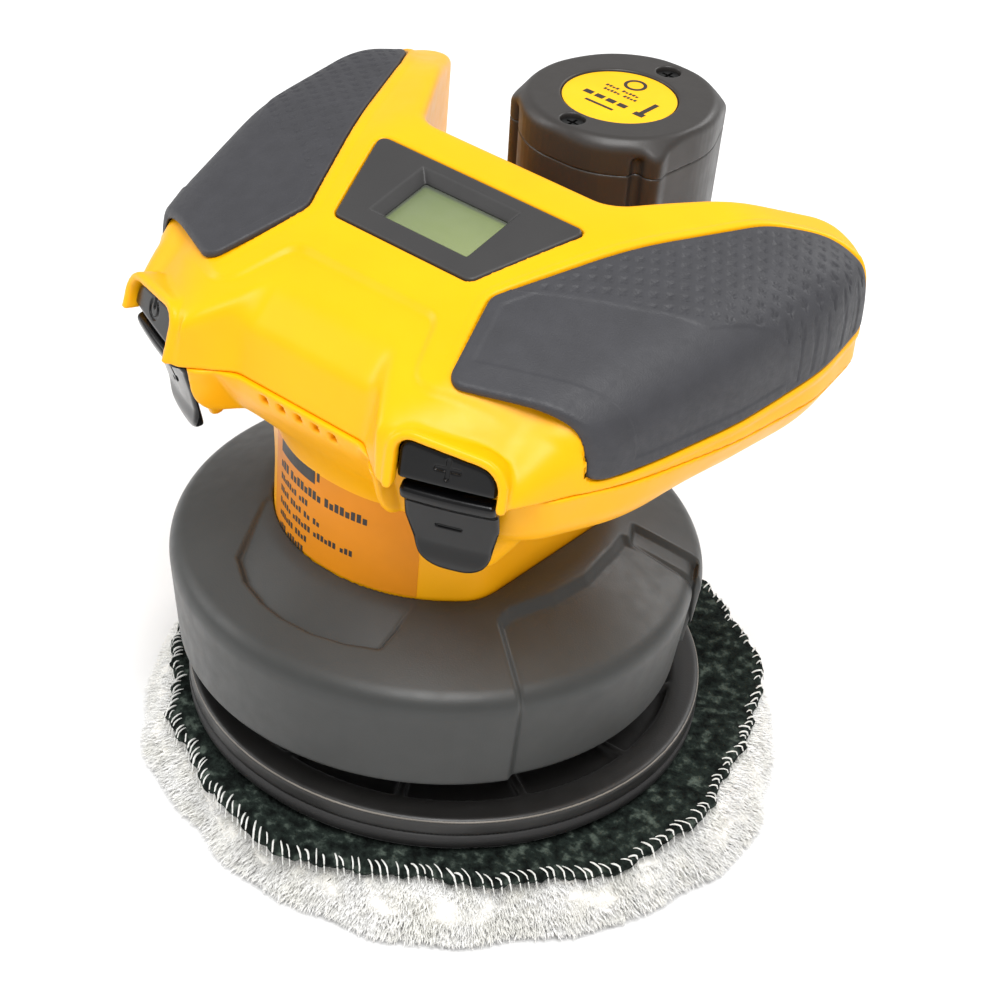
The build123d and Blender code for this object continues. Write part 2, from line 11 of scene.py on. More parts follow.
import bpy
import numpy as np
from mathutils import Matrix, Vector


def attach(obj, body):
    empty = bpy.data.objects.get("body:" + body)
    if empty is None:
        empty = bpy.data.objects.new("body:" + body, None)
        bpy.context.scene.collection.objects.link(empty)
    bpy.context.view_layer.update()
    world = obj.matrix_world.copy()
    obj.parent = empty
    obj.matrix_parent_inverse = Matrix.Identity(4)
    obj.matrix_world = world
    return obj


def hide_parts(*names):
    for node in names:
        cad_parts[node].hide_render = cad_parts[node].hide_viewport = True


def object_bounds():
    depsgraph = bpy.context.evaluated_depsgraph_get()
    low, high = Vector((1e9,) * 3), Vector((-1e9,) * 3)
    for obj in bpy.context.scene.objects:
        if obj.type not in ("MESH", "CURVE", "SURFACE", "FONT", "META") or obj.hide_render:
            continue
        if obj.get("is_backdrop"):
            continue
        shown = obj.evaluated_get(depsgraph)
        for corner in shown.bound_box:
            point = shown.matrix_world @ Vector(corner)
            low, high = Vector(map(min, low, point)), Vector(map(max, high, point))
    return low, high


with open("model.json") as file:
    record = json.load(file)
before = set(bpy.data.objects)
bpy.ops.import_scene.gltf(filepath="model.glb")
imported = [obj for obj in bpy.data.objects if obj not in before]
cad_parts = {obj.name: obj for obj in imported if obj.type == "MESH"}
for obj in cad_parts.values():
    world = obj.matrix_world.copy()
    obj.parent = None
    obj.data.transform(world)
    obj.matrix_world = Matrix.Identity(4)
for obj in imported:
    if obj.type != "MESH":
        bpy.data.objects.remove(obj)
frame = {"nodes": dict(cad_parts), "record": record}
cad_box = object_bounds()

MM = 0.001
UP = np.array([0, 0, 1.0])
ROOT_2 = 1.414

# ---- driving dimensions, in millimetres, the part's own where it has them
SEAM_Z = 142.5
SEAM_GAP = 0.1
WING_FLOOR_Z = 126.0
SHELL = 3.0
REAR_WALL_Y = 21.0
ROOF_Z = 181.4
ROOF_TILT = 0.235
ROOF_TOP_Y, ROOF_TAIL_Y = 10.0, 48.0         # the roof levels off here, and falls away from here
REAR_TILT, TAIL_FALL = 0.06, 0.22
CROWN_FALL_X, CROWN_EDGE_X = 36.0, 86.0      # the wings' tops fall outside the first and end at the second
CROWN_EDGE_DROP, CROWN_ROUND = 8.8, 15.5
NECK_R = 47.0
NECK_HALF_X = 38.5
NECK_WALL = 2.5
NECK_FOOT_Z = 76.5
FLARE_Z = 118.0
FLANGE_R = 53.0
PLATE_R = 75.0
ORBIT = 5.0
ORBIT_ANGLE = radians(17.5)
PAD_X = ORBIT * cos(ORBIT_ANGLE)
PAD_Y = ORBIT * sin(ORBIT_ANGLE)
PILE_X, PILE_Y = 7.0, 9.8   # the pile is brushed a little to one side
WOOL_R = 98.0
BACKING_Z = 20.7
HOOK_Z = 21.5
FOAM_Z = 27.0
CARRIER_Z = 32.5
SKIRT_FOOT_Z = 42.0
SKIRT_FOOT_R = 73.5
SKIRT_BAND_Z = 69.6
SKIRT_BAND_R = 76.5
SKIRT_WALL = 2.6
BATTERY_Y = 65.5
BATTERY_Z0, BATTERY_Z1 = 98.5, 188.5
CAP_Z = 178.0
DOCK_GAP = 0.4
DOCK_WALL = 3.0

# Outlines are (x, y, corner radius) rows; those of the handle, plateau, bezel and battery are right halves.
HANDLE_PLAN = [
    (22, -60, 6), (36, -70.5, 4), (66, -56.5, 6), (81, -22.5, 90), (87.5, 8, 120),
    (90.5, 40, 60), (85.5, 70, 11), (66, 73, 9), (32.5, REAR_WALL_Y, 10),
]
GRIP_PLAN = [
    (31.2, -25.4, 5), (40.7, -52.7, 4), (77.2, -35, 4), (100, -30, 0), (100, 66.5, 0), (84, 66.5, 6),
    (73, 60.5, 20), (63.5, 46, 40), (45, 5, 90),
]
GRIP_FOOT_Z, GRIP_FOOT_TILT = 148.0, 0.07
PLATEAU_PLAN = [(24.6, -36.2, 6), (33, -55.5, 6), (110, -21.5, 0), (110, 120, 0)]
BEZEL_PLAN = [(23.3, -24.8, 2.6), (35.8, 7.3, 2.2)]
BATTERY_PLAN = [(11, -27, 22), (25.5, -14.5, 2.5), (27, 8, 30), (19, 25.5, 2.5), (8, 29, 12)]
KEY_OPENING = [(-13.2, -14, 0), (13.2, -14, 0), (13.2, 3.4, 6), (-13.2, 7.2, 3.5)]
UPPER_KEY = [(-12.8, -4.2, 1.2), (12.8, -4.2, 1.2), (12.8, 3.0, 5.6), (-12.8, 6.8, 3)]
PADDLE = [(-12, 0.6, 1.5), (13, 0.6, 1.5), (13, -12, 8), (9, -30, 8), (-8, -30, 8), (-12, -13, 8)]


# ---- plans and implicit shapes
def rounded(plan, steps=7):
    """Points of the closed outline whose corners are (x, y, radius) rows."""
    points = []
    for i, (x, y, radius) in enumerate(plan):
        corner = Vector((x, y))
        back = (Vector(plan[i - 1][:2]) - corner).normalized()
        ahead = (Vector(plan[(i + 1) % len(plan)][:2]) - corner).normalized()
        if radius == 0:
            points.append(corner)
            continue
        half = back.angle(ahead) / 2
        centre = corner + (back + ahead).normalized() * radius / sin(half)
        start = corner + back * radius / tan(half) - centre
        end = corner + ahead * radius / tan(half) - centre
        sweep = start.angle_signed(end)
        for k in range(steps):
            turn = Matrix.Rotation(-sweep * k / (steps - 1), 2)
            points.append(centre + turn @ start)
    return np.array([tuple(p) for p in points])


def outline_distance(outline, x, y):
    """Signed distance of points to a closed outline, negative inside."""
    x, y = np.broadcast_arrays(x, y)
    px, py = x.ravel().astype(float), y.ravel().astype(float)
    nearest = np.full(px.size, 1e12)
    inside = np.zeros(px.size, bool)
    for (ax, ay), (bx, by) in zip(outline, np.roll(outline, -1, axis=0)):
        ex, ey = bx - ax, by - ay
        length2 = ex * ex + ey * ey
        if length2 < 1e-12:
            continue
        wx, wy = px - ax, py - ay
        t = np.clip((wx * ex + wy * ey) / length2, 0, 1)
        nearest = np.minimum(nearest, (wx - ex * t) ** 2 + (wy - ey * t) ** 2)
        if ey != 0:
            inside ^= ((ay > py) != (by > py)) & (px < ax + ex * (py - ay) / ey)
    distance = np.sqrt(nearest)
    return np.where(inside, -distance, distance).reshape(x.shape)


def plan_field(plan):
    outline = rounded(plan)
    return lambda x, y: outline_distance(outline, x, y)


def meet(a, b, blend=0):
    """The overlap of two solids, with its edge rounded over about blend."""
    if blend == 0:
        return np.maximum(a, b)
    near = np.maximum(blend - abs(a - b), 0)
    return np.maximum(a, b) + near * near / (4 * blend)


def join(a, b, blend=0):
    """Two solids together, with a fillet of about blend."""
    return -meet(-a, -b, blend)


def ease(value):
    """0 below 0, 1 above 1, and an S between."""
    t = np.clip(value, 0, 1)
    return t * t * (3 - 2 * t)


handle_plan, plateau_plan, bezel_plan, battery_plan = (
    plan_field(plan + [(-x, y, r) for x, y, r in reversed(plan)])
    for plan in (HANDLE_PLAN, PLATEAU_PLAN, BEZEL_PLAN, BATTERY_PLAN)
)
grip_plan, opening_plan, upper_key_plan, paddle_plan = (
    plan_field(plan) for plan in (GRIP_PLAN, KEY_OPENING, UPPER_KEY, PADDLE)
)


def roof_height(y):
    """The plateau's height: it climbs towards the rear, levels off and falls away over the wings' tails."""
    top_z = ROOF_Z + ROOF_TILT * ROOF_TOP_Y
    front = ROOF_Z + ROOF_TILT * y
    level = top_z + REAR_TILT * (y - ROOF_TOP_Y)
    tail = top_z + REAR_TILT * (ROOF_TAIL_Y - ROOF_TOP_Y) - TAIL_FALL * (y - ROOF_TAIL_Y)
    return join(join(front, level, 2.0), tail, 2.0)


def crown(x, y, z):
    """Signed distance, near the surface, to the handle's top: level, then falling, then a full round."""
    widening = join(0.22 * (y - ROOF_TOP_Y), 0.07 * (y - ROOF_TOP_Y), 0.8)
    drift = join(widening, 2.66 - 0.12 * (y - ROOF_TAIL_Y), 0.8)
    out = abs(x) - drift
    depth = z - roof_height(y)
    slope = (depth + 0.176 * (out - CROWN_FALL_X)) * 0.985
    wall = 0.992 * (out - CROWN_EDGE_X) + 0.126 * (depth + CROWN_EDGE_DROP)
    return meet(meet(depth / 1.02, slope, 0.9), wall, CROWN_ROUND)


def wing(x, y, z):
    """The handle's outer skin above the seam: its plan and its crowned top."""
    return meet(handle_plan(x, y), crown(x, y, z), 3.5)


def grip_zone(side, y, z):
    """Negative where a grip covers the wing."""
    foot = GRIP_FOOT_Z + GRIP_FOOT_TILT * y
    return meet(grip_plan(side, y), foot - z, 3.0)


class Plane:
    """A work plane: origin, x direction and normal, in millimetres."""

    def __init__(self, origin, x_dir, normal):
        self.origin = Vector(origin)
        self.w = Vector(normal).normalized()
        self.v = self.w.cross(Vector(x_dir)).normalized()
        self.u = self.v.cross(self.w)

    def local(self, x, y, z):
        """The u, v, w coordinates of points given as three arrays."""
        moved = (x - self.origin.x, y - self.origin.y, z - self.origin.z)
        return [sum(m * axis[i] for i, m in enumerate(moved)) for axis in (self.u, self.v, self.w)]

    def world(self, points):
        """Points given in u, v, w as rows, back in the row frame."""
        axes = np.array([tuple(self.u), tuple(self.v), tuple(self.w)])
        return np.asarray(points) @ axes + np.array(tuple(self.origin))


KEY_X = (0.923, 0.384, 0)
DISPLAY = Plane((0, 0, ROOF_Z), (1, 0, 0), (0, -ROOF_TILT, 1))
UPPER_FACE = Plane((51, -62.0, 149), KEY_X, (0.376, -0.905, 0.2))
PADDLE_FACE = Plane((51, -62.5, 141), KEY_X, (0.376, -0.905, -0.29))


def rect_field(u, v, half_u, low_v, high_v):
    """Signed distance in a plane to a rectangle."""
    du = abs(u) - half_u
    dv = abs(v - (low_v + high_v) / 2) - (high_v - low_v) / 2
    outside = np.hypot(np.maximum(du, 0), np.maximum(dv, 0))
    return outside + np.minimum(np.maximum(du, dv), 0)


def box_field(x, y, z, low, high):
    fields = [abs(p - (a + b) / 2) - (b - a) / 2 for p, a, b in zip((x, y, z), low, high)]
    return meet(meet(fields[0], fields[1]), fields[2])


def rod_field(x, y, z, radius, z0, z1, cx=0.0, cy=0.0):
    return meet(np.hypot(x - cx, y - cy) - radius, abs(z - (z0 + z1) / 2) - (z1 - z0) / 2)


# ---- meshes
def sample(value, origin, step, points):
    """The grid's value at points, by trilinear interpolation."""
    place = (points - origin) / step
    cell = np.clip(np.floor(place).astype(int), 0, np.array(value.shape) - 2)
    part = place - cell
    total = np.zeros(len(points))
    for corner in product((0, 1), repeat=3):
        weight = np.prod(np.where(corner, part, 1 - part), axis=1)
        total += weight * value[tuple((cell + corner).T)]
    return total


def slope_at(value, origin, step, points, reach):
    """The grid's gradient at points, over twice reach."""
    def at(move):
        return sample(value, origin, step, points + move)

    return np.stack([at(reach * axis) - at(-reach * axis) for axis in np.eye(3)], axis=1) / (2 * reach)


def surface(field, low, high, step):
    """Points, normals and quads of the surface where field is 0, by surface nets."""
    axes = [np.arange(a, b + step, step) for a, b in zip(low, high)]
    x, y, z = np.ix_(*axes)
    value = np.array(np.broadcast_to(field(x, y, z), [len(a) for a in axes]), np.float32)
    solid = value < 0
    count = sum(
        solid[i:i + solid.shape[0] - 1, j:j + solid.shape[1] - 1, k:k + solid.shape[2] - 1].astype(np.int8)
        for i, j, k in product((0, 1), repeat=3)
    )
    cells = np.argwhere((count > 0) & (count < 8))
    index = np.full(count.shape, -1)
    index[tuple(cells.T)] = np.arange(len(cells))
    total, hits = np.zeros((len(cells), 3)), np.zeros(len(cells))
    for axis in range(3):
        for i, j in product((0, 1), repeat=2):
            start = cells.copy()
            start[:, (axis + 1) % 3] += i
            start[:, (axis + 2) % 3] += j
            end = start.copy()
            end[:, axis] += 1
            a, b = value[tuple(start.T)], value[tuple(end.T)]
            cut = (a < 0) != (b < 0)
            t = a[cut] / (a[cut] - b[cut])
            point = start[cut].astype(float)
            point[:, axis] += t
            total[cut] += point
            hits[cut] += 1
    origin = np.array([a[0] for a in axes])
    points = origin + step * total / hits[:, None]
    for _ in range(3):
        slope = slope_at(value, origin, step, points, 0.5 * step)
        size2 = np.maximum((slope**2).sum(1), 0.05)
        move = -sample(value, origin, step, points)[:, None] * slope / size2[:, None]
        points += np.clip(move, -0.3 * step, 0.3 * step)
    normals = slope_at(value, origin, step, points, 0.8 * step)
    normals /= np.maximum(np.linalg.norm(normals, axis=1), 1e-9)[:, None]
    quads = []
    for axis in range(3):
        u, v = (axis + 1) % 3, (axis + 2) % 3
        lower, upper = [slice(1, -1)] * 3, [slice(1, -1)] * 3
        lower[axis], upper[axis] = slice(0, -1), slice(1, None)
        inner = np.ones(3, int)
        inner[axis] = 0
        edge = np.argwhere(solid[tuple(lower)] != solid[tuple(upper)]) + inner
        corners = []
        for du, dv in ((1, 1), (0, 1), (0, 0), (1, 0)):
            cell = edge.copy()
            cell[:, u] -= du
            cell[:, v] -= dv
            corners.append(index[tuple(cell.T)])
        quad = np.stack(corners, axis=1)
        outward = solid[tuple(edge.T)]
        quad[~outward] = quad[~outward][:, ::-1]
        quads.append(quad)
    return points, normals, np.concatenate(quads)


def mesh_piece(name, shape, look, body, replaced=(), smooth=True):
    """A mesh object riding on a CAD body; shape holds points in millimetres, faces and perhaps normals."""
    points, faces, *normals = shape
    faces = np.asarray(faces)
    mesh = bpy.data.meshes.new(name)
    mesh.vertices.add(len(points))
    mesh.vertices.foreach_set("co", (np.asarray(points) * MM).astype(np.float32).ravel())
    mesh.loops.add(faces.size)
    mesh.loops.foreach_set("vertex_index", faces.astype(np.int32).ravel())
    mesh.polygons.add(len(faces))
    mesh.polygons.foreach_set("loop_start", np.arange(0, faces.size, faces.shape[1], dtype=np.int32))
    mesh.update(calc_edges=True)
    mesh.validate()
    mesh.polygons.foreach_set("use_smooth", np.full(len(mesh.polygons), smooth))
    if normals:
        mesh.normals_split_custom_set_from_vertices([tuple(n) for n in normals[0]])
    piece = bpy.data.objects.new(name, mesh)
    bpy.context.scene.collection.objects.link(piece)
    mesh.materials.append(look)
    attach(piece, body)
    if replaced:
        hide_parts(*replaced)
    return piece


def solid_piece(name, field, low, high, step, look, body, replaced, slot, place=None, mirror=False):
    """A piece from an implicit solid, its box given in the field's own coordinates."""
    points, normals, quads = surface(field, low, high, step)
    if place is not None:
        turn = place.world(np.zeros((1, 3)))
        normals = place.world(normals) - turn
        points = place.world(points)
    if mirror:
        points, normals = points * (-1, 1, 1), normals * (-1, 1, 1)
        quads = quads[:, ::-1]
    return mesh_piece(name, (points, quads, normals), look, body, replaced)


def ring_quads(turns, count):
    """Quads between closed loops of count points that stand one after another round an axis."""
    i, j = np.meshgrid(np.arange(turns), np.arange(count), indexing="ij")
    near, far = i * count, (i + 1) % turns * count
    after = (j + 1) % count
    return np.stack([near + j, near + after, far + after, far + j], axis=2).reshape(-1, 4)


def round_axis(radius, angle, *height):
    """Points at a radius and an angle in degrees, with a height or without one."""
    turn = np.radians(angle)
    return np.stack([radius * np.cos(turn), radius * np.sin(turn), *height], axis=-1)


def unit(vectors):
    return vectors / np.linalg.norm(vectors, axis=-1, keepdims=True)


def lathe(profile, centre=(0.0, 0.0), turns=256):
    """Points and quads of a closed (radius, z) profile turned round a vertical axis."""
    profile = np.asarray(profile, float)
    count = len(profile)
    angle = np.linspace(0, 2 * pi, turns, endpoint=False)[:, None]
    x = centre[0] + profile[:, 0] * np.cos(angle)
    y = centre[1] + profile[:, 0] * np.sin(angle)
    points = np.stack([x, y, np.broadcast_to(profile[:, 1], x.shape)], axis=2).reshape(-1, 3)
    return points, ring_quads(turns, count)


def smooth_noise(points, size, seed, octaves=2):
    """Soft noise of about -1 to 1 at points, from randomly turned waves of that size."""
    random = np.random.default_rng(seed)
    total = np.zeros(len(points))
    for octave in range(octaves):
        for _ in range(6):
            direction = random.normal(size=3)
            direction *= 2 * pi / (size * np.linalg.norm(direction)) * random.uniform(0.7, 1.4)
            total += np.sin(points @ direction + random.uniform(0, 2 * pi)) * 0.6**octave
        size /= 2.1
    return total / 4


# ---- materials
class Look:
    """A procedural material in the making, on object coordinates."""

    def __init__(self, name, **sockets):
        self.material = bpy.data.materials.new(name)
        self.material.use_nodes = True
        self.nodes = self.material.node_tree.nodes
        self.links = self.material.node_tree.links
        self.shader = self.nodes["Principled BSDF"]
        self.place = self.nodes.new("ShaderNodeTexCoord").outputs["Object"]
        self.normal = None
        for socket, value in sockets.items():
            self.shader.inputs[socket.replace("_", " ")].default_value = value

    def put(self, socket, value):
        if isinstance(value, bpy.types.NodeSocket):
            self.links.new(value, socket)
        else:
            socket.default_value = value

    def noise(self, size_mm, detail=3.0, stretch=(1, 1, 1)):
        """Noise with features of about that size."""
        scale = self.nodes.new("ShaderNodeVectorMath")
        scale.operation = "MULTIPLY"
        scale.inputs[1].default_value = stretch
        self.links.new(self.place, scale.inputs[0])
        node = self.nodes.new("ShaderNodeTexNoise")
        node.inputs["Scale"].default_value = 1 / (size_mm * MM)
        node.inputs["Detail"].default_value = detail
        self.links.new(scale.outputs[0], node.inputs["Vector"])
        return node.outputs["Fac"]

    def cells(self, size_mm):
        """Distance to the nearest of scattered points, about that far apart."""
        node = self.nodes.new("ShaderNodeTexVoronoi")
        node.inputs["Scale"].default_value = 1 / (size_mm * MM)
        self.links.new(self.place, node.inputs["Vector"])
        return node.outputs["Distance"]

    def ramp(self, value, *stops):
        """Colours or levels along value, as (place, colour) stops."""
        node = self.nodes.new("ShaderNodeValToRGB")
        ramp = node.color_ramp
        while len(ramp.elements) < len(stops):
            ramp.elements.new(0.5)
        for element, (place, colour) in zip(ramp.elements, stops):
            element.position = place
            element.color = colour if isinstance(colour, tuple) else (colour, colour, colour, 1)
        self.links.new(value, node.inputs["Fac"])
        return node.outputs["Color"]

    def math(self, operation, a, b=0.0):
        node = self.nodes.new("ShaderNodeMath")
        node.operation = operation
        self.put(node.inputs[0], a)
        self.put(node.inputs[1], b)
        return node.outputs[0]

    def axis(self, name):
        node = self.nodes.new("ShaderNodeSeparateXYZ")
        self.links.new(self.place, node.inputs[0])
        return node.outputs[name]

    def colour(self, value):
        self.links.new(value, self.shader.inputs["Base Color"])
        return self

    def roughness(self, value):
        self.links.new(value, self.shader.inputs["Roughness"])
        return self

    def bump(self, value, depth_mm, strength=1.0):
        """A raised pattern, stacked on any bump already there."""
        node = self.nodes.new("ShaderNodeBump")
        node.inputs["Distance"].default_value = depth_mm * MM
        node.inputs["Strength"].default_value = strength
        self.links.new(value, node.inputs["Height"])
        if self.normal is not None:
            self.links.new(self.normal, node.inputs["Normal"])
        self.normal = node.outputs["Normal"]
        self.links.new(self.normal, self.shader.inputs["Normal"])
        return self


def linear(red, green, blue):
    """A linear colour from 0-255 display values."""
    def curve(c):
        c /= 255
        return c / 12.92 if c <= 0.04045 else ((c + 0.055) / 1.055) ** 2.4
    return (curve(red), curve(green), curve(blue), 1)


def shade(colour, factor):
    return (colour[0] * factor, colour[1] * factor, colour[2] * factor, 1)


def grained(name, colour, roughness, grain_mm, depth_mm, spread=0.06, **sockets):
    """Moulded plastic or rubber: slight tone drift, uneven gloss and a fine grain."""
    look = Look(name, **sockets)
    drift = look.noise(18, 4)
    look.colour(look.ramp(drift, (0.3, shade(colour, 1 - spread)), (0.7, shade(colour, 1 + spread))))
    look.roughness(look.ramp(look.noise(5, 5), (0.3, roughness - 0.05), (0.75, roughness + 0.06)))
    look.bump(look.noise(grain_mm, 2), depth_mm)
    return look.material


YELLOW = linear(250, 176, 3)
GRIP_GREY = linear(50, 50, 54)
SKIRT_GREY = linear(54, 55, 54)
BLACK = linear(8, 8, 9)

yellow_look = grained("yellow_shell_look", YELLOW, 0.36, 0.5, 0.006, 0.03, Specular_IOR_Level=0.22)
charcoal_look = grained("charcoal_look", linear(48, 47, 47), 0.5, 0.35, 0.03)
battery_look = grained("battery_look", linear(46, 43, 41), 0.42, 0.4, 0.03)
skirt_look = grained("skirt_look", SKIRT_GREY, 0.42, 0.45, 0.03, Specular_IOR_Level=0.38)
plate_look = grained("plate_look", linear(28, 27, 26), 0.4, 0.6, 0.03)
foam_look = grained("foam_look", linear(26, 25, 25), 0.6, 0.5, 0.08)
key_look = grained("key_look", BLACK, 0.2, 1.2, 0.004, Specular_IOR_Level=0.28)
# painted highlight: the pale colour of the thin line along the plate's rim
rim_highlight_look = grained("rim_highlight_look", linear(120, 114, 106), 0.4, 1.5, 0.02, 0.3)
ink_look = grained("ink_look", linear(40, 34, 28), 0.5, 0.5, 0.004)


def mottled(name, patch, stops, grain, **sockets):
    """A look coloured along a noise of (size, detail), with a bump of (size, detail, depth)."""
    look = Look(name, **sockets)
    look.colour(look.ramp(look.noise(*patch), *stops))
    look.bump(look.noise(*grain[:2]), grain[2])
    return look


def wool(name, cream, white):
    stops = ((0.35, (*cream, 1)), (0.6, (*white, 1)))
    return mottled(name, (9, 4), stops, (1.2, 5, 0.8), Roughness=0.9, Sheen_Weight=0.2).material


GRIP_TONES = ((0.3, shade(GRIP_GREY, 0.9)), (0.75, shade(GRIP_GREY, 1.12)))
grip = mottled("grip_look", (6, 5), GRIP_TONES, (0.45, 2, 0.10))
grip.roughness(grip.ramp(grip.noise(2, 4), (0.3, 0.5), (0.75, 0.66)))
grip_look = grip.material

FELT_TONES = ((0.36, linear(10, 15, 13)), (0.55, linear(34, 42, 38)), (0.72, linear(84, 94, 86)))
felt = mottled("felt_look", (3.2, 6), FELT_TONES, (0.9, 6, 0.9), Roughness=0.95, Specular_IOR_Level=0.12)
felt.bump(felt.cells(1.1), 0.5, 0.6)
felt_look = felt.material

wool_look = wool("wool_look", (0.95, 0.94, 0.89), (0.99, 0.985, 0.965))
# painted shade: the core is the same wool coloured darker, as the mass lies in shade under the strands
shaded_wool_core_look = wool("shaded_wool_core_look", (0.86, 0.84, 0.78), (0.94, 0.92, 0.87))
thread_look = mottled("thread_look", (1.5, 3), ((0.3, linear(205, 205, 200)), (0.7, linear(240, 240, 236))),
                      (0.3, 2, 0.1), Roughness=0.8).material

# ---- camera, light and floor
CAMERA_AT = Vector((353.5, -441.4, 487.4)) * MM
CAMERA_AZIMUTH, CAMERA_ELEVATION, CAMERA_ROLL = radians(37.0), radians(35.4), radians(5.2275)


def make_camera():
    data = bpy.data.cameras.new("camera")
    data.sensor_width = 36
    data.lens = 88.36
    data.clip_start = 0.01
    back = Vector((
        sin(CAMERA_AZIMUTH) * cos(CAMERA_ELEVATION),
        -cos(CAMERA_AZIMUTH) * cos(CAMERA_ELEVATION),
        sin(CAMERA_ELEVATION),
    ))
    level = Vector((0, 0, 1)).cross(back).normalized()
    above = back.cross(level)
    right = cos(CAMERA_ROLL) * level + sin(CAMERA_ROLL) * above
    up = -sin(CAMERA_ROLL) * level + cos(CAMERA_ROLL) * above
    camera = bpy.data.objects.new("camera", data)
    camera.matrix_world = Matrix.Translation(CAMERA_AT) @ Matrix((right, up, back)).transposed().to_4x4()
    bpy.context.scene.collection.objects.link(camera)
    bpy.context.scene.camera = camera


def area_light(name, place, target, size, power):
    data = bpy.data.lights.new(name, "AREA")
    data.shape = "DISK"
    data.size = size
    data.energy = power
    light = bpy.data.objects.new(name, data)
    light.location = place
    light.rotation_euler = (Vector(target) - Vector(place)).to_track_quat("-Z", "Y").to_euler()
    bpy.context.scene.collection.objects.link(light)


def make_studio():
    world = bpy.data.worlds.new("studio")
    bpy.context.scene.world = world
    world.use_nodes = True
    world.node_tree.nodes["Background"].inputs["Color"].default_value = (1, 1, 1, 1)
    world.node_tree.nodes["Background"].inputs["Strength"].default_value = 0.62
    area_light("key_light", (0.35, -0.35, 1.1), (0, 0, 0.1), 0.7, 12)
    area_light("side_light", (-0.9, -0.5, 0.6), (0, 0, 0.1), 0.6, 3.5)
    area_light("back_light", (0.2, 0.9, 0.7), (0, 0, 0.1), 0.6, 3.5)
    bpy.ops.mesh.primitive_plane_add(size=12, location=(0, 0, -0.0004))
    floor = bpy.context.object
    floor.name = "floor"
    look = Look("floor_look", Roughness=0.9)
    look.colour(look.ramp(look.noise(400, 2), (0.3, 0.93), (0.7, 0.95)))
    floor.data.materials.append(look.material)
    floor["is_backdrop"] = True


make_camera()
make_studio()

# ---- yellow shells
LEAN = 0.175              # how far the hood's front wall leans back, per millimetre of height
DECK_DROP = 2.5           # the front deck lies this far under the plateau
LEDGE = 0.5               # raised border round each grip
SIDES_X = 24.0            # half-width of the flat part of the hood's front
VENT, VENT_DEPTH = 2.4, 1.8
CHIN_FOOT_Z = 108.5       # lowest point of a pod's underside
FRONT_FOOT_Z = 136.5      # lower edge of the wings' front, at y -60
PADDLE_ROOM = 7.0         # depth of the recess behind a long key
PRESSED_ROOM = 6.8        # depth of the hollow straight under it
DOCK_MID_Z, DOCK_HALF_HEIGHT = 122.5, 27.5
SHELL_SCREWS = ((58, -34), (72, 6), (77, 46))
LATCH_WINDOW = (-9, 94, 128), (9, 105, 138)


def key_local(plane, x, y, z):
    """Coordinates in a key's plane, the same on both sides."""
    return plane.local(abs(x), y, z)


def upper_outside(x, y, z):
    """The upper shell's outer form, open below."""
    side = abs(x)
    plateau = plateau_plan(x, y)
    beside_grip = grip_zone(side, y, z)
    deck = DECK_DROP * ease(plateau / 2.4 + 0.25)
    ledge = LEDGE * (1 - ease((beside_grip - 2.2) / 0.9)) * (1 - ease(plateau / 1.5 + 1.5))
    top = crown(x, y, z) + deck - ledge
    front = (1 - ease((side - SIDES_X) / 10)) * (y < -40)
    wall = handle_plan(x, y) + LEAN * (z - SEAM_Z) * front - ledge * (y > -30)
    form = meet(wall, top, 3.5)
    hood = (z - 166 - 0.45 * (y + 50)) / 1.1
    shelf_normal = Vector((286.5, -285.7, 364.4)).normalized()
    shelf = shelf_normal.x * (side - 40.7) + shelf_normal.y * (y + 54) + shelf_normal.z * (z - 165)
    shelf = shelf - 3 * ease((y + 38) / 12) - 2.5 * ease((side - 58) / 12)
    form = meet(meet(form, hood, 4), shelf, 4)
    bevel_z = 157.3 + 1.02 * (y + 57.4)
    bevel = (z - bevel_z) / 1.43
    bevel_side = (side - 21.5 - (z - bevel_z) * 0.7) / 1.22
    form = meet(form, -meet(-bevel, bevel_side, 2.5), 1.6)
    u, v, w = key_local(UPPER_FACE, x, y, z)
    opening = opening_plan(u, v)
    front_of_pod = np.where(side > 34, w - 0.4, -50)
    form = meet(form, front_of_pod, 1.5)
    rim = meet(meet(opening - 2.7, -opening, 0.8), abs(w + 1.6) - 3.6, 1.4)
    return join(form, rim, 1.2)


def upper_shell(x, y, z):
    side = abs(x)
    form = upper_outside(x, y, z)
    shell = meet(form, -(form + SHELL))
    under_grip = meet(grip_zone(side, y, z) - 0.35, -wing(x, y, z) - 1.5)
    shell = meet(shell, -under_grip, 0.4)
    u, v, w = DISPLAY.local(x, y, z)
    bezel = meet(bezel_plan(u, v) - 0.3, -2.3 - w)
    window = meet(rect_field(u, v, 17, -18, 3.5), abs(w + 6) - 8)
    shell = meet(shell, -join(bezel, window), 0.5)
    u, v, w = key_local(UPPER_FACE, x, y, z)
    pocket = meet(opening_plan(u, v), abs(w) - 9)
    shell = meet(shell, -pocket, 0.6)
    return meet(shell, SEAM_Z + SEAM_GAP / 2 - z, 0.3)


def pod_chin(side, y, z):
    """The tapering underside of a pod, behind the long key."""
    top = [(37, -58), (64, -50), (72, -38), (66, -22), (40, -22), (34, -40)]
    tip = [(46.5, -44), (50, -44), (52, -42), (50.5, -38), (47, -38), (45.5, -42)]
    field = None
    for i, corner in enumerate(top):
        a = Vector((*corner, SEAM_Z))
        b = Vector((*top[(i + 1) % len(top)], SEAM_Z))
        c = Vector((*tip[i], CHIN_FOOT_Z))
        normal = (c - a).cross(b - a).normalized()
        plane = normal.x * (side - a.x) + normal.y * (y - a.y) + normal.z * (z - a.z)
        field = plane if field is None else meet(field, plane, 4)
    return meet(field, CHIN_FOOT_Z - z, 2)


def neck_field(x, y, inset=0.0):
    return meet(np.hypot(x, y) - NECK_R + inset, abs(x) - NECK_HALF_X + inset, 3)


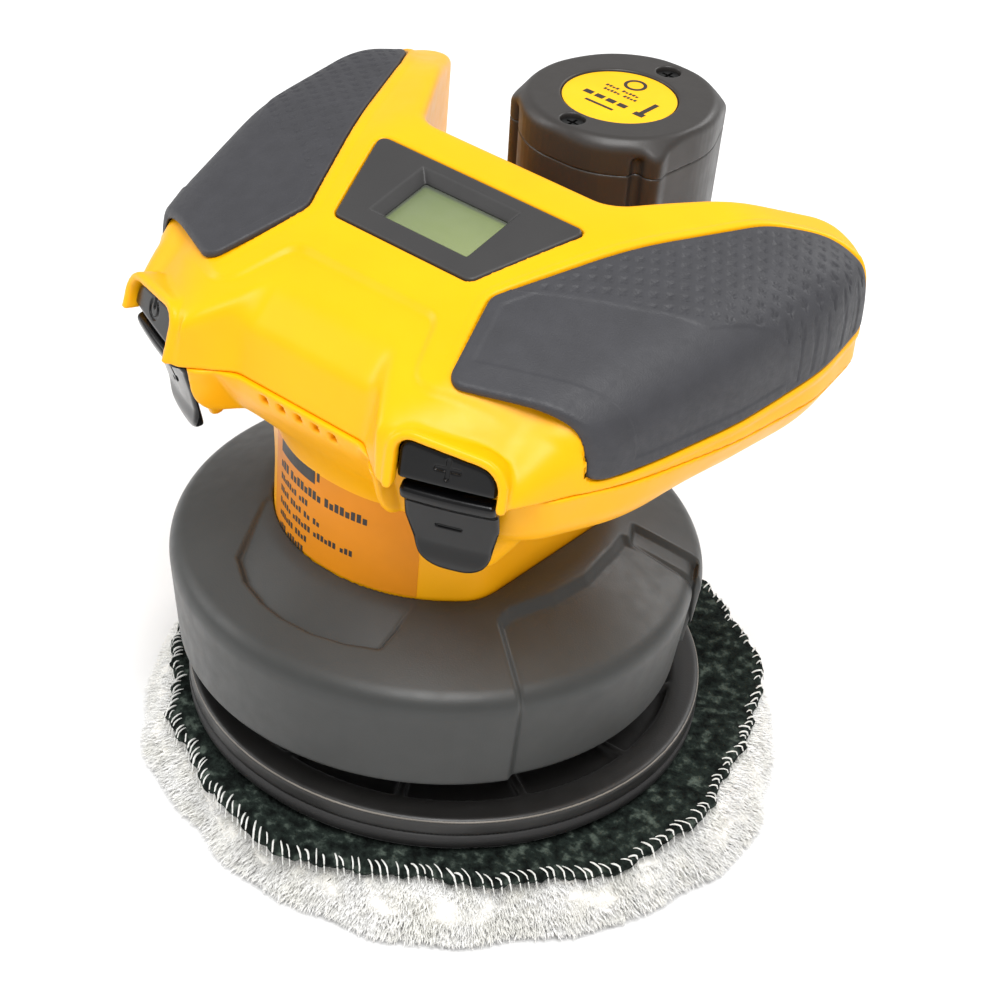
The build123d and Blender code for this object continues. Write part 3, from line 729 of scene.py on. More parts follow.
def lower_outside(x, y, z):
    """The lower shell's outer form without the battery dock, open at the seam and at the neck's foot."""
    side = abs(x)
    radius = np.hypot(x, y)
    plan = handle_plan(x, y)
    tuck = 0.16 + 0.34 * ease((y + 30) / 40)
    band = meet(plan + tuck * (SEAM_Z - z), WING_FLOOR_Z + 0.03 * (y + 20) - z, 10)
    cone = (radius - NECK_R - (z - FLARE_Z)) / ROOT_2
    flare = meet(plan + 0.1 * (SEAM_Z - z), cone, 3)
    wedge = (side - NECK_HALF_X - (z - FLARE_Z + 12)) / ROOT_2
    wedge = meet(wedge, abs(y + 4) - 25, 8)
    form = join(join(band, flare, 5), meet(wedge, plan, 3), 5)
    front = (FRONT_FOOT_Z - (y + 60) * 1.5 - z) / 1.8 - 1.5 * np.maximum(side - 27, 0)
    form = meet(form, front, 3)
    form = join(form, pod_chin(side, y, z), 5)
    u, v, w = key_local(PADDLE_FACE, x, y, z)
    paddle_room = np.where(y < -40, meet(-(w + PADDLE_ROOM), 33.5 - side), 50)
    form = meet(form, -paddle_room, 2.2)
    form = join(form, neck_field(x, y), 6)
    pressed_room = meet(paddle_plan(u, v) - 0.6, -(w + PRESSED_ROOM))
    return meet(form, -pressed_room, 0.5)


def dock_outside(x, y, z):
    tall = abs(z - DOCK_MID_Z) - DOCK_HALF_HEIGHT
    cup = meet(battery_plan(x, y - BATTERY_Y) - DOCK_GAP - DOCK_WALL, tall, 2)
    bridge = meet(abs(x) - 30, meet(abs(y - 32.6) - 11.4, tall), 3)
    return join(cup, bridge, 4)


def lower_shell(x, y, z):
    side = abs(x)
    outside = lower_outside(x, y, z)
    hollow = meet(outside + SHELL, y - 31, 1)
    body = meet(outside, z - SEAM_Z + SEAM_GAP / 2, 0.3)
    roof = meet(meet(neck_field(x, y), REAR_WALL_Y + 0.2 - y), abs(z - 146) - 4)
    roof = meet(roof, -(handle_plan(x, y) - 0.4))
    body = join(body, join(dock_outside(x, y, z), roof), 2)
    flange = rod_field(x, y, z, FLANGE_R, NECK_FOOT_Z, NECK_FOOT_Z + 3)
    body = join(body, flange)
    bay = meet(neck_field(x, y, NECK_WALL), y - 33.5)
    bay = np.where(y > REAR_WALL_Y, meet(bay, z - SEAM_Z + SHELL), bay)
    shell = meet(body, -join(hollow, bay))
    for boss_x, boss_y in SHELL_SCREWS:
        boss = rod_field(side, y, z, 4.6, WING_FLOOR_Z + 1, SEAM_Z - 0.4, boss_x, boss_y)
        hole = rod_field(side, y, z, 3.6, 120, 131, boss_x, boss_y)
        shell = meet(join(shell, meet(boss, outside)), -hole)
    slot = battery_plan(x, y - BATTERY_Y) - DOCK_GAP
    shell = meet(shell, -meet(slot, BATTERY_Z0 - 0.3 - z), 0.8)
    shell = meet(shell, -box_field(x, y, z, *LATCH_WINDOW))
    vent = join(join(side, abs(side - 6)), abs(side - 12)) - VENT / 2
    vent = meet(meet(vent, abs(z - SEAM_Z + 3.0) - VENT / 2), y + 50)
    shell = meet(shell, -meet(vent, -outside - VENT_DEPTH), 0.3)
    return meet(shell, NECK_FOOT_Z - z)


MARK_PITCH = 3.9          # between the small crosses on a grip
MARK_TURN = radians(36)
MARK_ARM, MARK_HALF_WIDTH, MARK_DEPTH = 1.2, 0.34, 0.34


def grip_relief(x, y, inset):
    """Height of the grip's pattern: crosses behind a curved line, grain ahead, a smooth front strip."""
    along = x - 35.6
    behind = y + 19.5 - 0.66 * along + 0.003 * along * along
    behind = join(behind, y - 4 - 1.9 * (x - 78), 1.5)
    u = (x * cos(MARK_TURN) + y * sin(MARK_TURN)) / MARK_PITCH
    v = (y * cos(MARK_TURN) - x * sin(MARK_TURN)) / MARK_PITCH
    a, b = u - np.round(u), v - np.round(v)
    p, q = abs(a + b) * 0.707 * MARK_PITCH, abs(a - b) * 0.707 * MARK_PITCH
    cross = join(meet(p - MARK_ARM, q - MARK_HALF_WIDTH), meet(q - MARK_ARM, p - MARK_HALF_WIDTH))
    marks = -MARK_DEPTH * (1 - ease(cross / 0.3 + 0.5))
    marks = marks * ease((behind - 1.2) / 0.5) * ease((inset - 2.0) / 0.6)
    step = 0.22 * ease(behind / 0.7)
    bead = 0.2 * np.exp(-(behind / 0.45) ** 2) * ease((72 - x) / 12)
    front = -0.436 * (x - 40.7) + 0.899 * (y + 52.7)
    strip = 0.3 * (1 - ease((np.minimum(front - 7.5, inset - 3.5)) / 0.8)) * (behind < 0)
    return marks + step + bead + strip


def grip_shape(x, y, z):
    """A soft overmould, standing a little proud of the shell round it."""
    zone = grip_zone(x, y, z)
    skin = wing(x, y, z)
    bulge = 0.35 + 0.5 * ease(-zone / 12) + grip_relief(x, y, -zone)
    return meet(meet(zone + 0.12, skin - bulge, 1.2), -skin - 1.4, 0.4)


# ---- bezel, keys, marks
def bezel_shape(u, v, w):
    frame_top = meet(bezel_plan(u, v), w + 0.1, 1.0)
    body = meet(frame_top, -2.3 - w)
    well = meet(rect_field(u, v, 16.9, -17.9, 3.4), abs(w + 3.6) - 3.5)
    body = join(body, well)
    rise = np.maximum(w + 3.4, 0)
    hole = meet(abs(u) - 14, abs(v + 7.5) - 8) - 0.9 * rise
    body = meet(body, -hole, 0.25)
    seat = meet(rect_field(u, v, 15.8, -16.9, 2.2), w + 3.4)
    return meet(body, -seat)


def stroke(u, v, half_u, half_v, cu=0.0, cv=0.0, turn=0.0):
    """Distance in a key's face to a bar with rounded ends."""
    du, dv = u - cu, v - cv
    a = du * cos(turn) + dv * sin(turn)
    b = -du * sin(turn) + dv * cos(turn)
    return np.hypot(np.maximum(abs(a) - half_u, 0), np.maximum(abs(b) - half_v, 0)) - 0.55


def plus_mark(u, v):
    return join(stroke(u, v, 2.9, 0, 0, 0.9), stroke(u, v, 0, 2.3, 0, 0.9))


def minus_mark(u, v):
    return stroke(u, v, 3.0, 0, 0, -13.2)


def power_mark(u, v):
    ring = abs(np.hypot(u, v - 0.9) - 2.5) - 0.5
    gap = stroke(u, v, 0, 1.6, 0, 2.9) - 0.6
    return join(meet(ring, -gap), stroke(u, v, 0, 1.3, 0, 2.8))


def mode_mark(u, v):
    """Three bars in a slant, with a dot at each end."""
    bars = stroke(u, v, 2.6, 0.1, 0, -12.5, 0.9)
    for k in (-1, 1):
        bars = join(bars, stroke(u, v, 1.4, 0.1, 1.9 * k, -12.5 + 1.5 * k, -0.7))
        bars = join(bars, stroke(u, v, 0.1, 0.1, -1.5 * k, -12.5 + 3.4 * k))
    return bars


def upper_key_shape(mark):
    def field(u, v, w):
        face = w + 0.1 + 0.0016 * u * u
        cap = meet(upper_key_plan(u, v), face, 1.4)
        cap = meet(cap, -3.2 - w)
        stem = meet(np.hypot(u, v - 1) - 2.2, abs(w + 4.5) - 1.5)
        cap = join(cap, stem)
        return meet(cap, -meet(mark(u, v), -0.55 - w), 0.3)
    return field


def paddle_shape(mark):
    """A long key: a dark upper lip, then a hollowed face that runs out in a rounded tip."""
    def field(u, v, w):
        lip = 1.5 * (1 - ease((-v - 2.2) / 2.2))
        hollow = 1.1 * ease((-v - 3) / 4) * (1 - ease((-v - 20) / 7))
        face = w + 1.2 + hollow - lip + 0.003 * u * u
        cap = meet(paddle_plan(u, v), face, 1.8)
        cap = meet(cap, -4 - w)
        stem = meet(np.hypot(u, v + 8) - 1.8, abs(w + 5.2) - 1.4)
        cap = join(cap, stem)
        return meet(cap, -meet(mark(u, v), -2.9 - w), 0.3)
    return field


# ---- skirt
# Outlines as (degrees, radius): the lowered rear field, the front facet and the channel between them.
SUNK_REGION = [(-32, 54.5), (-28, 51.8), (-12, 51.2), (2, 51.2), (20, 51.5), (28, 52.5), (29, 56), (30, 95),
               (0, 120), (-32, 110)]
CRESCENT = [(-144, 44), (-133, 50.5), (-121, 56.5), (-115, 61.5), (-106, 63.7), (-97, 64.7), (-90, 65),
            (-81, 65), (-72, 64.4), (-63, 63.4), (-60, 57.5), (-56.5, 50), (-55, 42), (-100, 30)]
CHANNEL = [(28.5, 54.5), (28.5, 74.6), (35.3, 74.6), (36.5, 54.5)]


SUNK_DEPTH, CHANNEL_DEPTH, CRESCENT_DEPTH = 2.0, 1.8, 2.6
DOME_R, SKIRT_TOP_Z = 60, 84.8


def polar_plan(rows, corner=1.0):
    """The field of an outline given as (degrees, radius) rows, with rounded corners."""
    return plan_field([(r * cos(radians(a)), r * sin(radians(a)), corner) for a, r in rows])


sunk_plan, crescent_plan, channel_plan = (polar_plan(rows) for rows in (SUNK_REGION, CRESCENT, CHANNEL))


def skirt_outside(x, y, z):
    radius = np.hypot(x, y)
    sunk = SUNK_DEPTH * (1 - ease(sunk_plan(x, y) / 2.6 + 0.6))
    sunk = sunk + CHANNEL_DEPTH * (1 - ease(channel_plan(x, y) / 1.4 + 0.7))
    facet = -crescent_plan(x, y)
    sunk = sunk + CRESCENT_DEPTH * ease(facet / 1.8) * np.clip((radius - 47) / 16, 0, 1)
    slope = (SKIRT_BAND_R - SKIRT_FOOT_R) / (SKIRT_BAND_Z - SKIRT_FOOT_Z)
    band = radius - SKIRT_BAND_R - slope * (z - SKIRT_BAND_Z)
    dome = (z - 80.9) * 0.889 + (radius - DOME_R) * 0.458
    collar = (z - 80.5) * 0.928 + (radius - DOME_R) * 0.371
    form = meet(meet(dome, collar, 3), z - SKIRT_TOP_Z, 1.5)
    return meet(form, band, 5) + sunk


def skirt_shape(x, y, z):
    form = skirt_outside(x, y, z)
    shell = meet(form, -meet(form + SKIRT_WALL, z - 80.5 + SKIRT_WALL))
    shell = meet(shell, SKIRT_FOOT_Z - z, 1.0)
    radius = np.hypot(x, y)
    seat = meet(radius - FLANGE_R - 0.1, z - NECK_FOOT_Z - 3.1)
    return meet(meet(shell, -seat), -neck_field(x, y, -0.2))


# ---- battery
SHOULDER_Z = 184.2        # lower edge of the chamfer round the battery's top
TOP_R = 25.4              # the top face is round
RIDGE_X, RIDGE_Y = 23.4, -14.0
NARROWING = 0.022         # inwards per millimetre down from the shoulder
BATTERY_SCREWS_Y = (BATTERY_Y - 20.8, BATTERY_Y + 22.5)


def battery_outside(x, y, z):
    """The pack's outer form: soft flats between ridges, drawing in downwards, and a round chamfered top."""
    side, back = abs(x), y - BATTERY_Y
    drawn_in = NARROWING * np.maximum(SHOULDER_Z - z, 0)
    plan = battery_plan(x, back) + drawn_in
    ridge = np.hypot(side - RIDGE_X, back - RIDGE_Y) - 2.6 + drawn_in
    groove = np.hypot(side - RIDGE_X + 2.8, back - RIDGE_Y + 4.0) - 1.4
    groove = meet(groove, z - SHOULDER_Z + 1, 1.5)
    body = meet(join(plan, ridge, 2.0), -groove, 1.6)
    back_reach = np.where(back > 0, 1 - 0.11 * ease(back / 20), 1)
    top = np.hypot(x, back * back_reach) - TOP_R
    chamfer = (top + (z - BATTERY_Z1)) / ROOT_2
    return meet(meet(body, chamfer, 1.2), z - BATTERY_Z1, 0.8)


def battery_case_shape(x, y, z):
    plan = battery_plan(x, y - BATTERY_Y)
    middle, half = (BATTERY_Z0 + CAP_Z) / 2, (CAP_Z - BATTERY_Z0) / 2
    outer = meet(battery_outside(x, y, z), abs(z - middle) - half, 0.1)
    shell = meet(outer, -meet(plan + 4, BATTERY_Z0 + 2 - z))
    for slot_x in (-8, 8):
        low, high = (slot_x - 1.2, BATTERY_Y - 4, 90), (slot_x + 1.2, BATTERY_Y + 4, BATTERY_Z0 + 3)
        shell = meet(shell, -box_field(x, y, z, low, high))
    return shell


def battery_cap_shape(x, y, z):
    plan = battery_plan(x, y - BATTERY_Y)
    outer = meet(battery_outside(x, y, z), CAP_Z - z, 0.1)
    inside = meet(plan + 4, z - BATTERY_Z1 + 6)
    shell = meet(outer, -inside)
    radius = np.hypot(x, y - BATTERY_Y)
    shell = meet(shell, -meet(radius - 16.4, BATTERY_Z1 - 1.1 - z), 0.6)
    for screw_y in BATTERY_SCREWS_Y:
        post = meet(rod_field(x, y, z, 4.6, CAP_Z, BATTERY_Z1 - 4, 0, screw_y), plan + 1)
        sink = rod_field(x, y, z, 3.5, BATTERY_Z1 - 3.4, 200, 0, screw_y)
        bore = rod_field(x, y, z, 1.65, CAP_Z - 2, 200, 0, screw_y)
        shell = meet(join(shell, post), -join(sink, bore), 0.5)
    return shell


# ---- make the solid pieces
COARSE = 0.75
FINE = 0.4

KEY_STEP = 0.25


def key_row(body, shape, plane, flip):
    """A key's row for the list below; its box depends on the face it lies in."""
    upper = (-14, -5.5, -7), (14, 8, 1.5)
    lower = (-14, -31.5, -7.5), (14, 1.5, 2)
    low, high = upper if plane is UPPER_FACE else lower
    looks = key_look, body, [body + "_key"], "gloss_key"
    return body + "_cap", shape, low, high, KEY_STEP, *looks, plane, flip


SOLIDS = [
    ("upper_shell", upper_shell, (-97, -77, 140), (97, 79, 200), COARSE, yellow_look, "housing",
     ["upper_housing"], "yellow_shell"),
    ("lower_shell", lower_shell, (-97, -77, 74), (97, 101, 153), COARSE, yellow_look, "housing",
     ["lower_housing"], "yellow_shell"),
    ("grip_right_skin", grip_shape, (29, -56, 143), (94, 70, 188), FINE, grip_look, "housing",
     ["grip_right"], "soft_grip"),
    ("grip_left_skin", grip_shape, (29, -56, 143), (94, 70, 188), FINE, grip_look, "housing",
     ["grip_left"], "soft_grip", None, True),
    ("bezel_frame", bezel_shape, (-38, -27, -8), (38, 10, 1), FINE, charcoal_look, "housing",
     ["display_bezel"], "charcoal_plastic", DISPLAY),
    key_row("speed_up", upper_key_shape(plus_mark), UPPER_FACE, False),
    key_row("speed_down", paddle_shape(minus_mark), PADDLE_FACE, False),
    key_row("power", upper_key_shape(power_mark), UPPER_FACE, True),
    key_row("mode", paddle_shape(mode_mark), PADDLE_FACE, True),
    ("skirt", skirt_shape, (-80, -80, 40), (80, 80, 88), COARSE * 0.75, skirt_look, "housing",
     ["skirt_shroud"], "skirt_plastic"),
    ("battery_sleeve", battery_case_shape, (-31, 34, 97), (31, 98, 180), FINE * 1.3, battery_look, "battery",
     ["battery_case"], "battery_plastic"),
    ("battery_lid", battery_cap_shape, (-31, 34, 176), (31, 98, 192), FINE, battery_look, "battery",
     ["battery_cap"], "battery_plastic"),
]
for row in SOLIDS:
    solid_piece(*row)

# ---- backing plate
DISH_R, HUB_R, DISH_Z, RIBS = 66, 20, 30, 12
SCREW_CIRCLE_R = 11.5


def carrier_shape(x, y, z):
    """The plate's hard upper half: a rounded rim, a dish and its ribs."""
    px, py = x - PAD_X, y - PAD_Y
    radius = np.hypot(px, py)
    body = meet(radius - PLATE_R + 0.05, z - CARRIER_Z + 0.05 * np.maximum(70 - radius, 0), 1.6)
    dish = meet(meet(radius - DISH_R, HUB_R - radius), DISH_Z - z, 1.5)
    angle = np.arctan2(py, px)
    step = 2 * pi / RIBS
    off_rib = abs((angle + step / 2) % step - step / 2) * radius - 1.2
    dish = meet(dish, -off_rib, 1.0)
    body = meet(body, -dish, 0.8)
    for k in range(4):
        hole_x, hole_y = SCREW_CIRCLE_R * cos(k * pi / 2), SCREW_CIRCLE_R * sin(k * pi / 2)
        body = meet(body, -rod_field(px, py, z, 1.95, 28.5, 40, hole_x, hole_y))
    return meet(body, FOAM_Z - z)


FOAM_PROFILE = [
    (20, HOOK_Z), (PLATE_R - 2.2, HOOK_Z), (PLATE_R - 1.0, HOOK_Z + 0.4), (PLATE_R - 0.2, HOOK_Z + 1.4),
    (PLATE_R, HOOK_Z + 2.8), (PLATE_R, FOAM_Z), (20, FOAM_Z),
]
solid_piece("plate_top", carrier_shape, (-72, -75, 26), (82, 79, 34), COARSE, plate_look, "pad",
            ["plate_carrier"], "plate_plastic")
foam_ring = lathe(FOAM_PROFILE, (PAD_X, PAD_Y))
foam = mesh_piece("plate_cushion", foam_ring, foam_look, "pad", ["plate_foam"])

# A thin pale line is painted along the plate's top edge: a painted highlight where the rim catches the
# light.
EDGE_R, EDGE_Z, RIM_LINE_HALF = PLATE_R - 0.45, CARRIER_Z - 0.75, 0.25
rim_highlight_ring = lathe(
    [(EDGE_R + RIM_LINE_HALF, EDGE_Z - RIM_LINE_HALF), (EDGE_R + RIM_LINE_HALF, EDGE_Z + RIM_LINE_HALF), (EDGE_R - RIM_LINE_HALF, EDGE_Z + 0.3)],
    (PAD_X, PAD_Y),
)
mesh_piece("plate_edge", rim_highlight_ring, rim_highlight_look, "pad")

# ---- bonnet
# Reach of the backing cloth from the motor axis, by angle: it is cut by hand, so it is uneven.
CLOTH_REACH = [
    (-180, 83), (-160, 78), (-139, 75.5), (-110, 76.5), (-93, 83), (-73, 85), (-47, 84), (-32, 87.5),
    (-16, 94), (6, 94), (32, 96), (51, 101.5), (74, 102), (100, 99), (125, 95), (150, 88), (180, 83),
]
CLOTH_TURNS = 720
random = np.random.default_rng(7)


def cloth_reach(angle):
    """Edge of the backing cloth at angles in degrees, with its small puckers."""
    angle = (np.asarray(angle) + 180) % 360 - 180
    shifts = range(-8, 9, 2)
    around = sum(np.interp((angle + shift + 180) % 360 - 180, *zip(*CLOTH_REACH)) for shift in shifts)
    turn = np.radians(angle)
    reach = around / len(shifts)
    for size, waves, phase in ((1.1, 9, 1.3), (0.8, 17, 0), (0.45, 46, 0), (0.3, 87, 0)):
        reach = reach + size * np.sin(waves * turn + phase)
    return reach


def cloth_top(radius, angle, reach):
    """Height of the cloth: it lies flat by the plate and waves near its edge."""
    out = np.clip((radius - 70) / 25, 0, 1)
    turn = np.radians(angle)
    wave = 1.3 * np.sin(7 * turn + 0.6) + 0.9 * np.sin(13 * turn + 2)
    return BACKING_Z - 0.2 + out * wave * 0.8 - 0.8 * ease((radius - reach + 4) / 4)


def make_cloth():
    rings = np.array([40, 60, 66, 70, 73, 76, 79, 82, 85, 88, 91, 94, 97, 100])
    share = (rings - rings[0]) / (rings[-1] - rings[0])
    angle = np.linspace(-180, 180, CLOTH_TURNS, endpoint=False)[:, None]
    reach = cloth_reach(angle)
    radius = rings[0] + (reach - rings[0]) * share
    top = cloth_top(radius, angle, reach)
    upper = round_axis(radius, angle, top)
    fuzz = smooth_noise(upper.reshape(-1, 3), 2.6, 3, 3).reshape(top.shape)
    upper[:, :, 2] += 0.35 * fuzz
    rim = upper[:, -1:] + round_axis(1, angle, np.full_like(angle, -1.3)) * 0.9
    lower = upper[:, ::-1] - (0, 0, 2.6)
    loop = np.concatenate([upper, rim, lower], axis=1)
    quads = ring_quads(CLOTH_TURNS, loop.shape[1])[:, [0, 3, 2, 1]]
    return loop.reshape(-1, 3), quads


def tubes(paths, radii, sides=5):
    """Points and quads of round strands along paths of equal length, with a radius at each point."""
    paths, radii = np.asarray(paths), np.asarray(radii)
    count, length = paths.shape[:2]
    along = unit(np.gradient(paths, axis=1))
    across = unit(np.cross(along, (0.13, 0.27, 0.95)))
    third = np.cross(along, across)
    angle = np.linspace(0, 2 * pi, sides, endpoint=False)
    ring = across[:, :, None] * np.cos(angle)[:, None] + third[:, :, None] * np.sin(angle)[:, None]
    points = paths[:, :, None] + ring * radii[:, :, None, None]
    base = np.arange(count)[:, None, None] * length * sides
    j, k = np.meshgrid(np.arange(length - 1), np.arange(sides), indexing="ij")
    after = (k + 1) % sides
    near, far = j * sides, (j + 1) * sides
    quads = np.stack([near + k, near + after, far + after, far + k], axis=2)
    return points.reshape(-1, 3), (quads.reshape(1, -1, 4) + base).reshape(-1, 4)


def make_stitches():
    """White whip stitches over the cloth's edge."""
    count = 215
    angle = np.linspace(-180, 180, count, endpoint=False) + random.uniform(-0.4, 0.4, count)
    slant = random.uniform(0.9, 2.0, count)
    inner = random.uniform(1.6, 3.2, count)
    steps = np.linspace(0, 1, 7)
    turn = angle[:, None] + slant[:, None] * (steps - 0.6)
    reach = cloth_reach(turn)
    radius = reach - inner[:, None] * (1 - steps / 0.75) + 0.4
    radius = np.minimum(radius, reach + 1.3)
    height = cloth_top(radius, turn, reach) + 0.55 * np.sin(np.minimum(steps / 0.75, 1) * pi) + 0.35
    height = height - 4.2 * np.maximum(steps - 0.72, 0) / 0.28
    paths = round_axis(radius, turn, height)
    thick = 0.27 * random.uniform(0.7, 1.25, (count, 1)) * np.array([0.55, 0.9, 1, 1, 1, 0.9, 0.6])
    return tubes(paths, thick)


def wool_radius(angle):
    turn = np.radians(angle)
    return WOOL_R - 6.0 + 1.2 * np.sin(5 * turn + 1) + 0.9 * np.sin(11 * turn) + 0.6 * np.sin(23 * turn + 2)


def make_wool_base():
    """The pile's lumpy mass, flat underneath."""
    rows = [(0, 0.3), (60, 0.3), (80, 0.3), (88, 0.5), (92, 1.5), (95, 3.5), (96.5, 6), (97, 8.5), (96, 11),
            (94, 13), (91, 14.6), (87, 15.6), (82, 16.2), (76, 16.6), (70, 16.8), (50, 16.8), (0, 16.8)]
    fine = np.linspace(0, len(rows) - 1, 96)
    profile = np.stack([np.interp(fine, np.arange(len(rows)), column) for column in zip(*rows)], axis=1)
    turns = 540
    points, quads = lathe(profile, (0, 0), turns)
    quads = quads.reshape(turns, len(profile), 4)[:, :-1].reshape(-1, 4)
    away = points - (0, 0, 8)
    radius = np.hypot(away[:, 0], away[:, 1])
    angle = np.degrees(np.arctan2(away[:, 1], away[:, 0]))
    out = np.clip((radius - 55) / 40, 0, 1)
    scale = 1 + out * (wool_radius(angle) / 97 - 1)
    points[:, :2] = (PILE_X, PILE_Y) + away[:, :2] * scale[:, None]
    lump = smooth_noise(points, 15, 11, 2) * 1.5 + smooth_noise(points, 5, 12, 2) * 0.5
    direction = np.stack([away[:, 0] / np.maximum(radius, 1), away[:, 1] / np.maximum(radius, 1),
                          np.where(away[:, 2] > 0, 0.5, 0.0)], axis=1)
    points += direction * (lump * out - 0.6)[:, None]
    points[:, 2] = np.maximum(points[:, 2], 0.3)
    return points, quads


def make_tufts(count, seed):
    """Fine tapered ribbons of pile, lightly gathered into locks that lie outwards and droop."""
    chance = np.random.default_rng(seed)
    locks = 1500
    lock_angle = chance.uniform(-180, 180, locks)
    lock_level = chance.uniform(0, 1, locks)
    lock_lift = chance.uniform(-0.12, 0.22, locks)
    lock_swing = chance.uniform(-0.3, 0.3, locks)
    pick = chance.integers(0, locks, count)
    angle = lock_angle[pick] + chance.normal(0, 1.9, count)
    level = np.clip(lock_level[pick] + chance.normal(0, 0.08, count), 0, 1)
    radius = wool_radius(angle) - 26 * level**1.2
    height = np.where(level < 0.25, 2.5 + 44 * level, 13.5 + 3.0 * np.minimum((level - 0.25) / 0.3, 1))
    root = (PILE_X, PILE_Y, 0) + round_axis(radius, angle, height)
    out = round_axis(1, angle, np.zeros(count))
    side = np.cross(UP, out)
    lift = (0.05 + 0.4 * np.minimum(level, 0.5) + lock_lift[pick])[:, None]
    swing = (lock_swing[pick] + chance.normal(0, 0.25, count))[:, None]
    heading = unit(out + swing * side + lift * UP)
    length = chance.uniform(3.0, 5.6, count)[:, None]
    droop = chance.uniform(0.1, 0.35, count)[:, None] * length
    steps = (0.0, 0.35, 0.7, 1.0)
    curl = chance.normal(0, 0.55, (count, 3))
    paths = np.stack([root + heading * length * (t - 0.2) - UP * droop * t * t
                      + curl * sin(t * pi * 0.8) * 0.5 for t in steps], axis=1)
    paths[:, :, 2] = np.maximum(paths[:, :, 2], 0.25)
    across = unit(np.cross(heading, UP + 0.35 * chance.normal(size=(count, 3))))
    width = chance.uniform(0.16, 0.3, count)[:, None, None] * np.array([1, 1.05, 0.7, 0.12])[None, :, None]
    left, right = paths - across[:, None] * width, paths + across[:, None] * width
    points = np.stack([left, right], axis=2).reshape(-1, 3)
    base = np.arange(count)[:, None, None] * 8
    j = np.arange(3)[:, None] * 2
    quads = np.concatenate([j, j + 1, j + 3, j + 2], axis=1)[None] + base
    normals = unit(0.55 * out + 0.8 * UP + 0.18 * chance.normal(size=(count, 3)))
    return points, quads.reshape(-1, 4), np.repeat(normals, 8, axis=0)


cloth = mesh_piece("bonnet_cloth", make_cloth(), felt_look, "pad", ["bonnet_backing"])
mesh_piece("bonnet_stitches", make_stitches(), thread_look, "pad")
pile = mesh_piece("bonnet_pile", make_wool_base(), shaded_wool_core_look, "pad", ["wool_bonnet"])
TUFTS = 30000
for number in (1, 2, 3, 4, 5):
    mesh_piece(f"bonnet_locks_{number}", make_tufts(TUFTS, 100 + number), wool_look, "pad")


# ---- printed marks
def rect_marks(rects, place, thickness=0.05):
    """Thin raised patches from (u, v, width, height) rows, placed by place(u, v, w)."""
    points, quads = [], []
    for u, v, width, height in rects:
        cells = max(1, int(width / 2))
        across = np.linspace(u, u + width, cells + 1)
        base = len(points)
        for a in across:
            for b, w in ((v, 0.0), (v, thickness), (v + height, thickness), (v + height, 0.0)):
                points.append(place(a, b, w))
        for k in range(cells):
            for m in range(4):
                a, b = base + 4 * k + m, base + 4 * k + (m + 1) % 4
                quads.append((a, a + 4, b + 4, b))
        quads.append((base, base + 1, base + 2, base + 3))
        end = base + 4 * cells
        quads.append((end + 3, end + 2, end + 1, end))
    return points, quads


def word_row(u, v, words, height, glyph=0.75, gap=0.38):
    """A line of generic blocks that stands for small print: one count of blocks per word."""
    rects = []
    for n in words:
        for k in range(n):
            tall = height if (k * 7 + n) % 3 else height * 0.72
            rects.append((u, v, glyph, tall))
            u += glyph + gap
        u += 1.1
    return rects


def on_neck(u, v, w):
    """u runs round the neck's front in millimetres from its middle, v is the height."""
    angle = u / NECK_R - pi / 2
    radius = NECK_R + 0.31 + w
    return (radius * cos(angle), radius * sin(angle), v)


def neck_print():
    left = -23.5
    rects = [(left, 109.6, 18.0, 7.0), (left + 18.8, 111.0, 1.0, 4.2)]
    rects += word_row(left, 104.6, (3, 8, 8), 2.7, 1.3, 0.5)
    for row, words in enumerate([(7, 3), (4, 4, 2, 2), (5, 6, 6, 3), (6, 4), (3, 6)]):
        rects += word_row(left, 100.6 - 4.0 * row, words, 1.9, 1.0, 0.45)
    return rect_marks(rects, on_neck)


def on_battery(u, v, w):
    return (u, BATTERY_Y + v, BATTERY_Z1 - 0.6 + 0.01 + w)


def battery_print():
    rects = word_row(-7.5, 3.2, (4, 5), 1.1, 0.8, 0.35) + word_row(-6.5, 0.9, (5, 4), 1.1, 0.8, 0.35)
    rects += [(-9.5 + 3.9 * k, -4.6, 2.9, 2.0) for k in range(4)]
    rects += [(-6.0, -8.2, 9.5, 1.0), (9.3, -3.5, 1.5, 7.5), (8.4, -5.4, 3.3, 2.0)]
    return rect_marks(rects, on_battery)


def ring_mark():
    points, quads = lathe([(2.3, 0), (3.3, 0), (3.3, 0.06), (2.3, 0.06)], turns=48)
    return points + (-1.5, BATTERY_Y + 9.2, BATTERY_Z1 - 0.59), quads


PRINTS = [
    ("neck_print", neck_print(), "housing"),
    ("battery_print", battery_print(), "battery"),
    ("battery_ring", ring_mark(), "battery"),
]
for name, shape, body in PRINTS:
    mesh_piece(name, shape, ink_look, body, smooth=False)

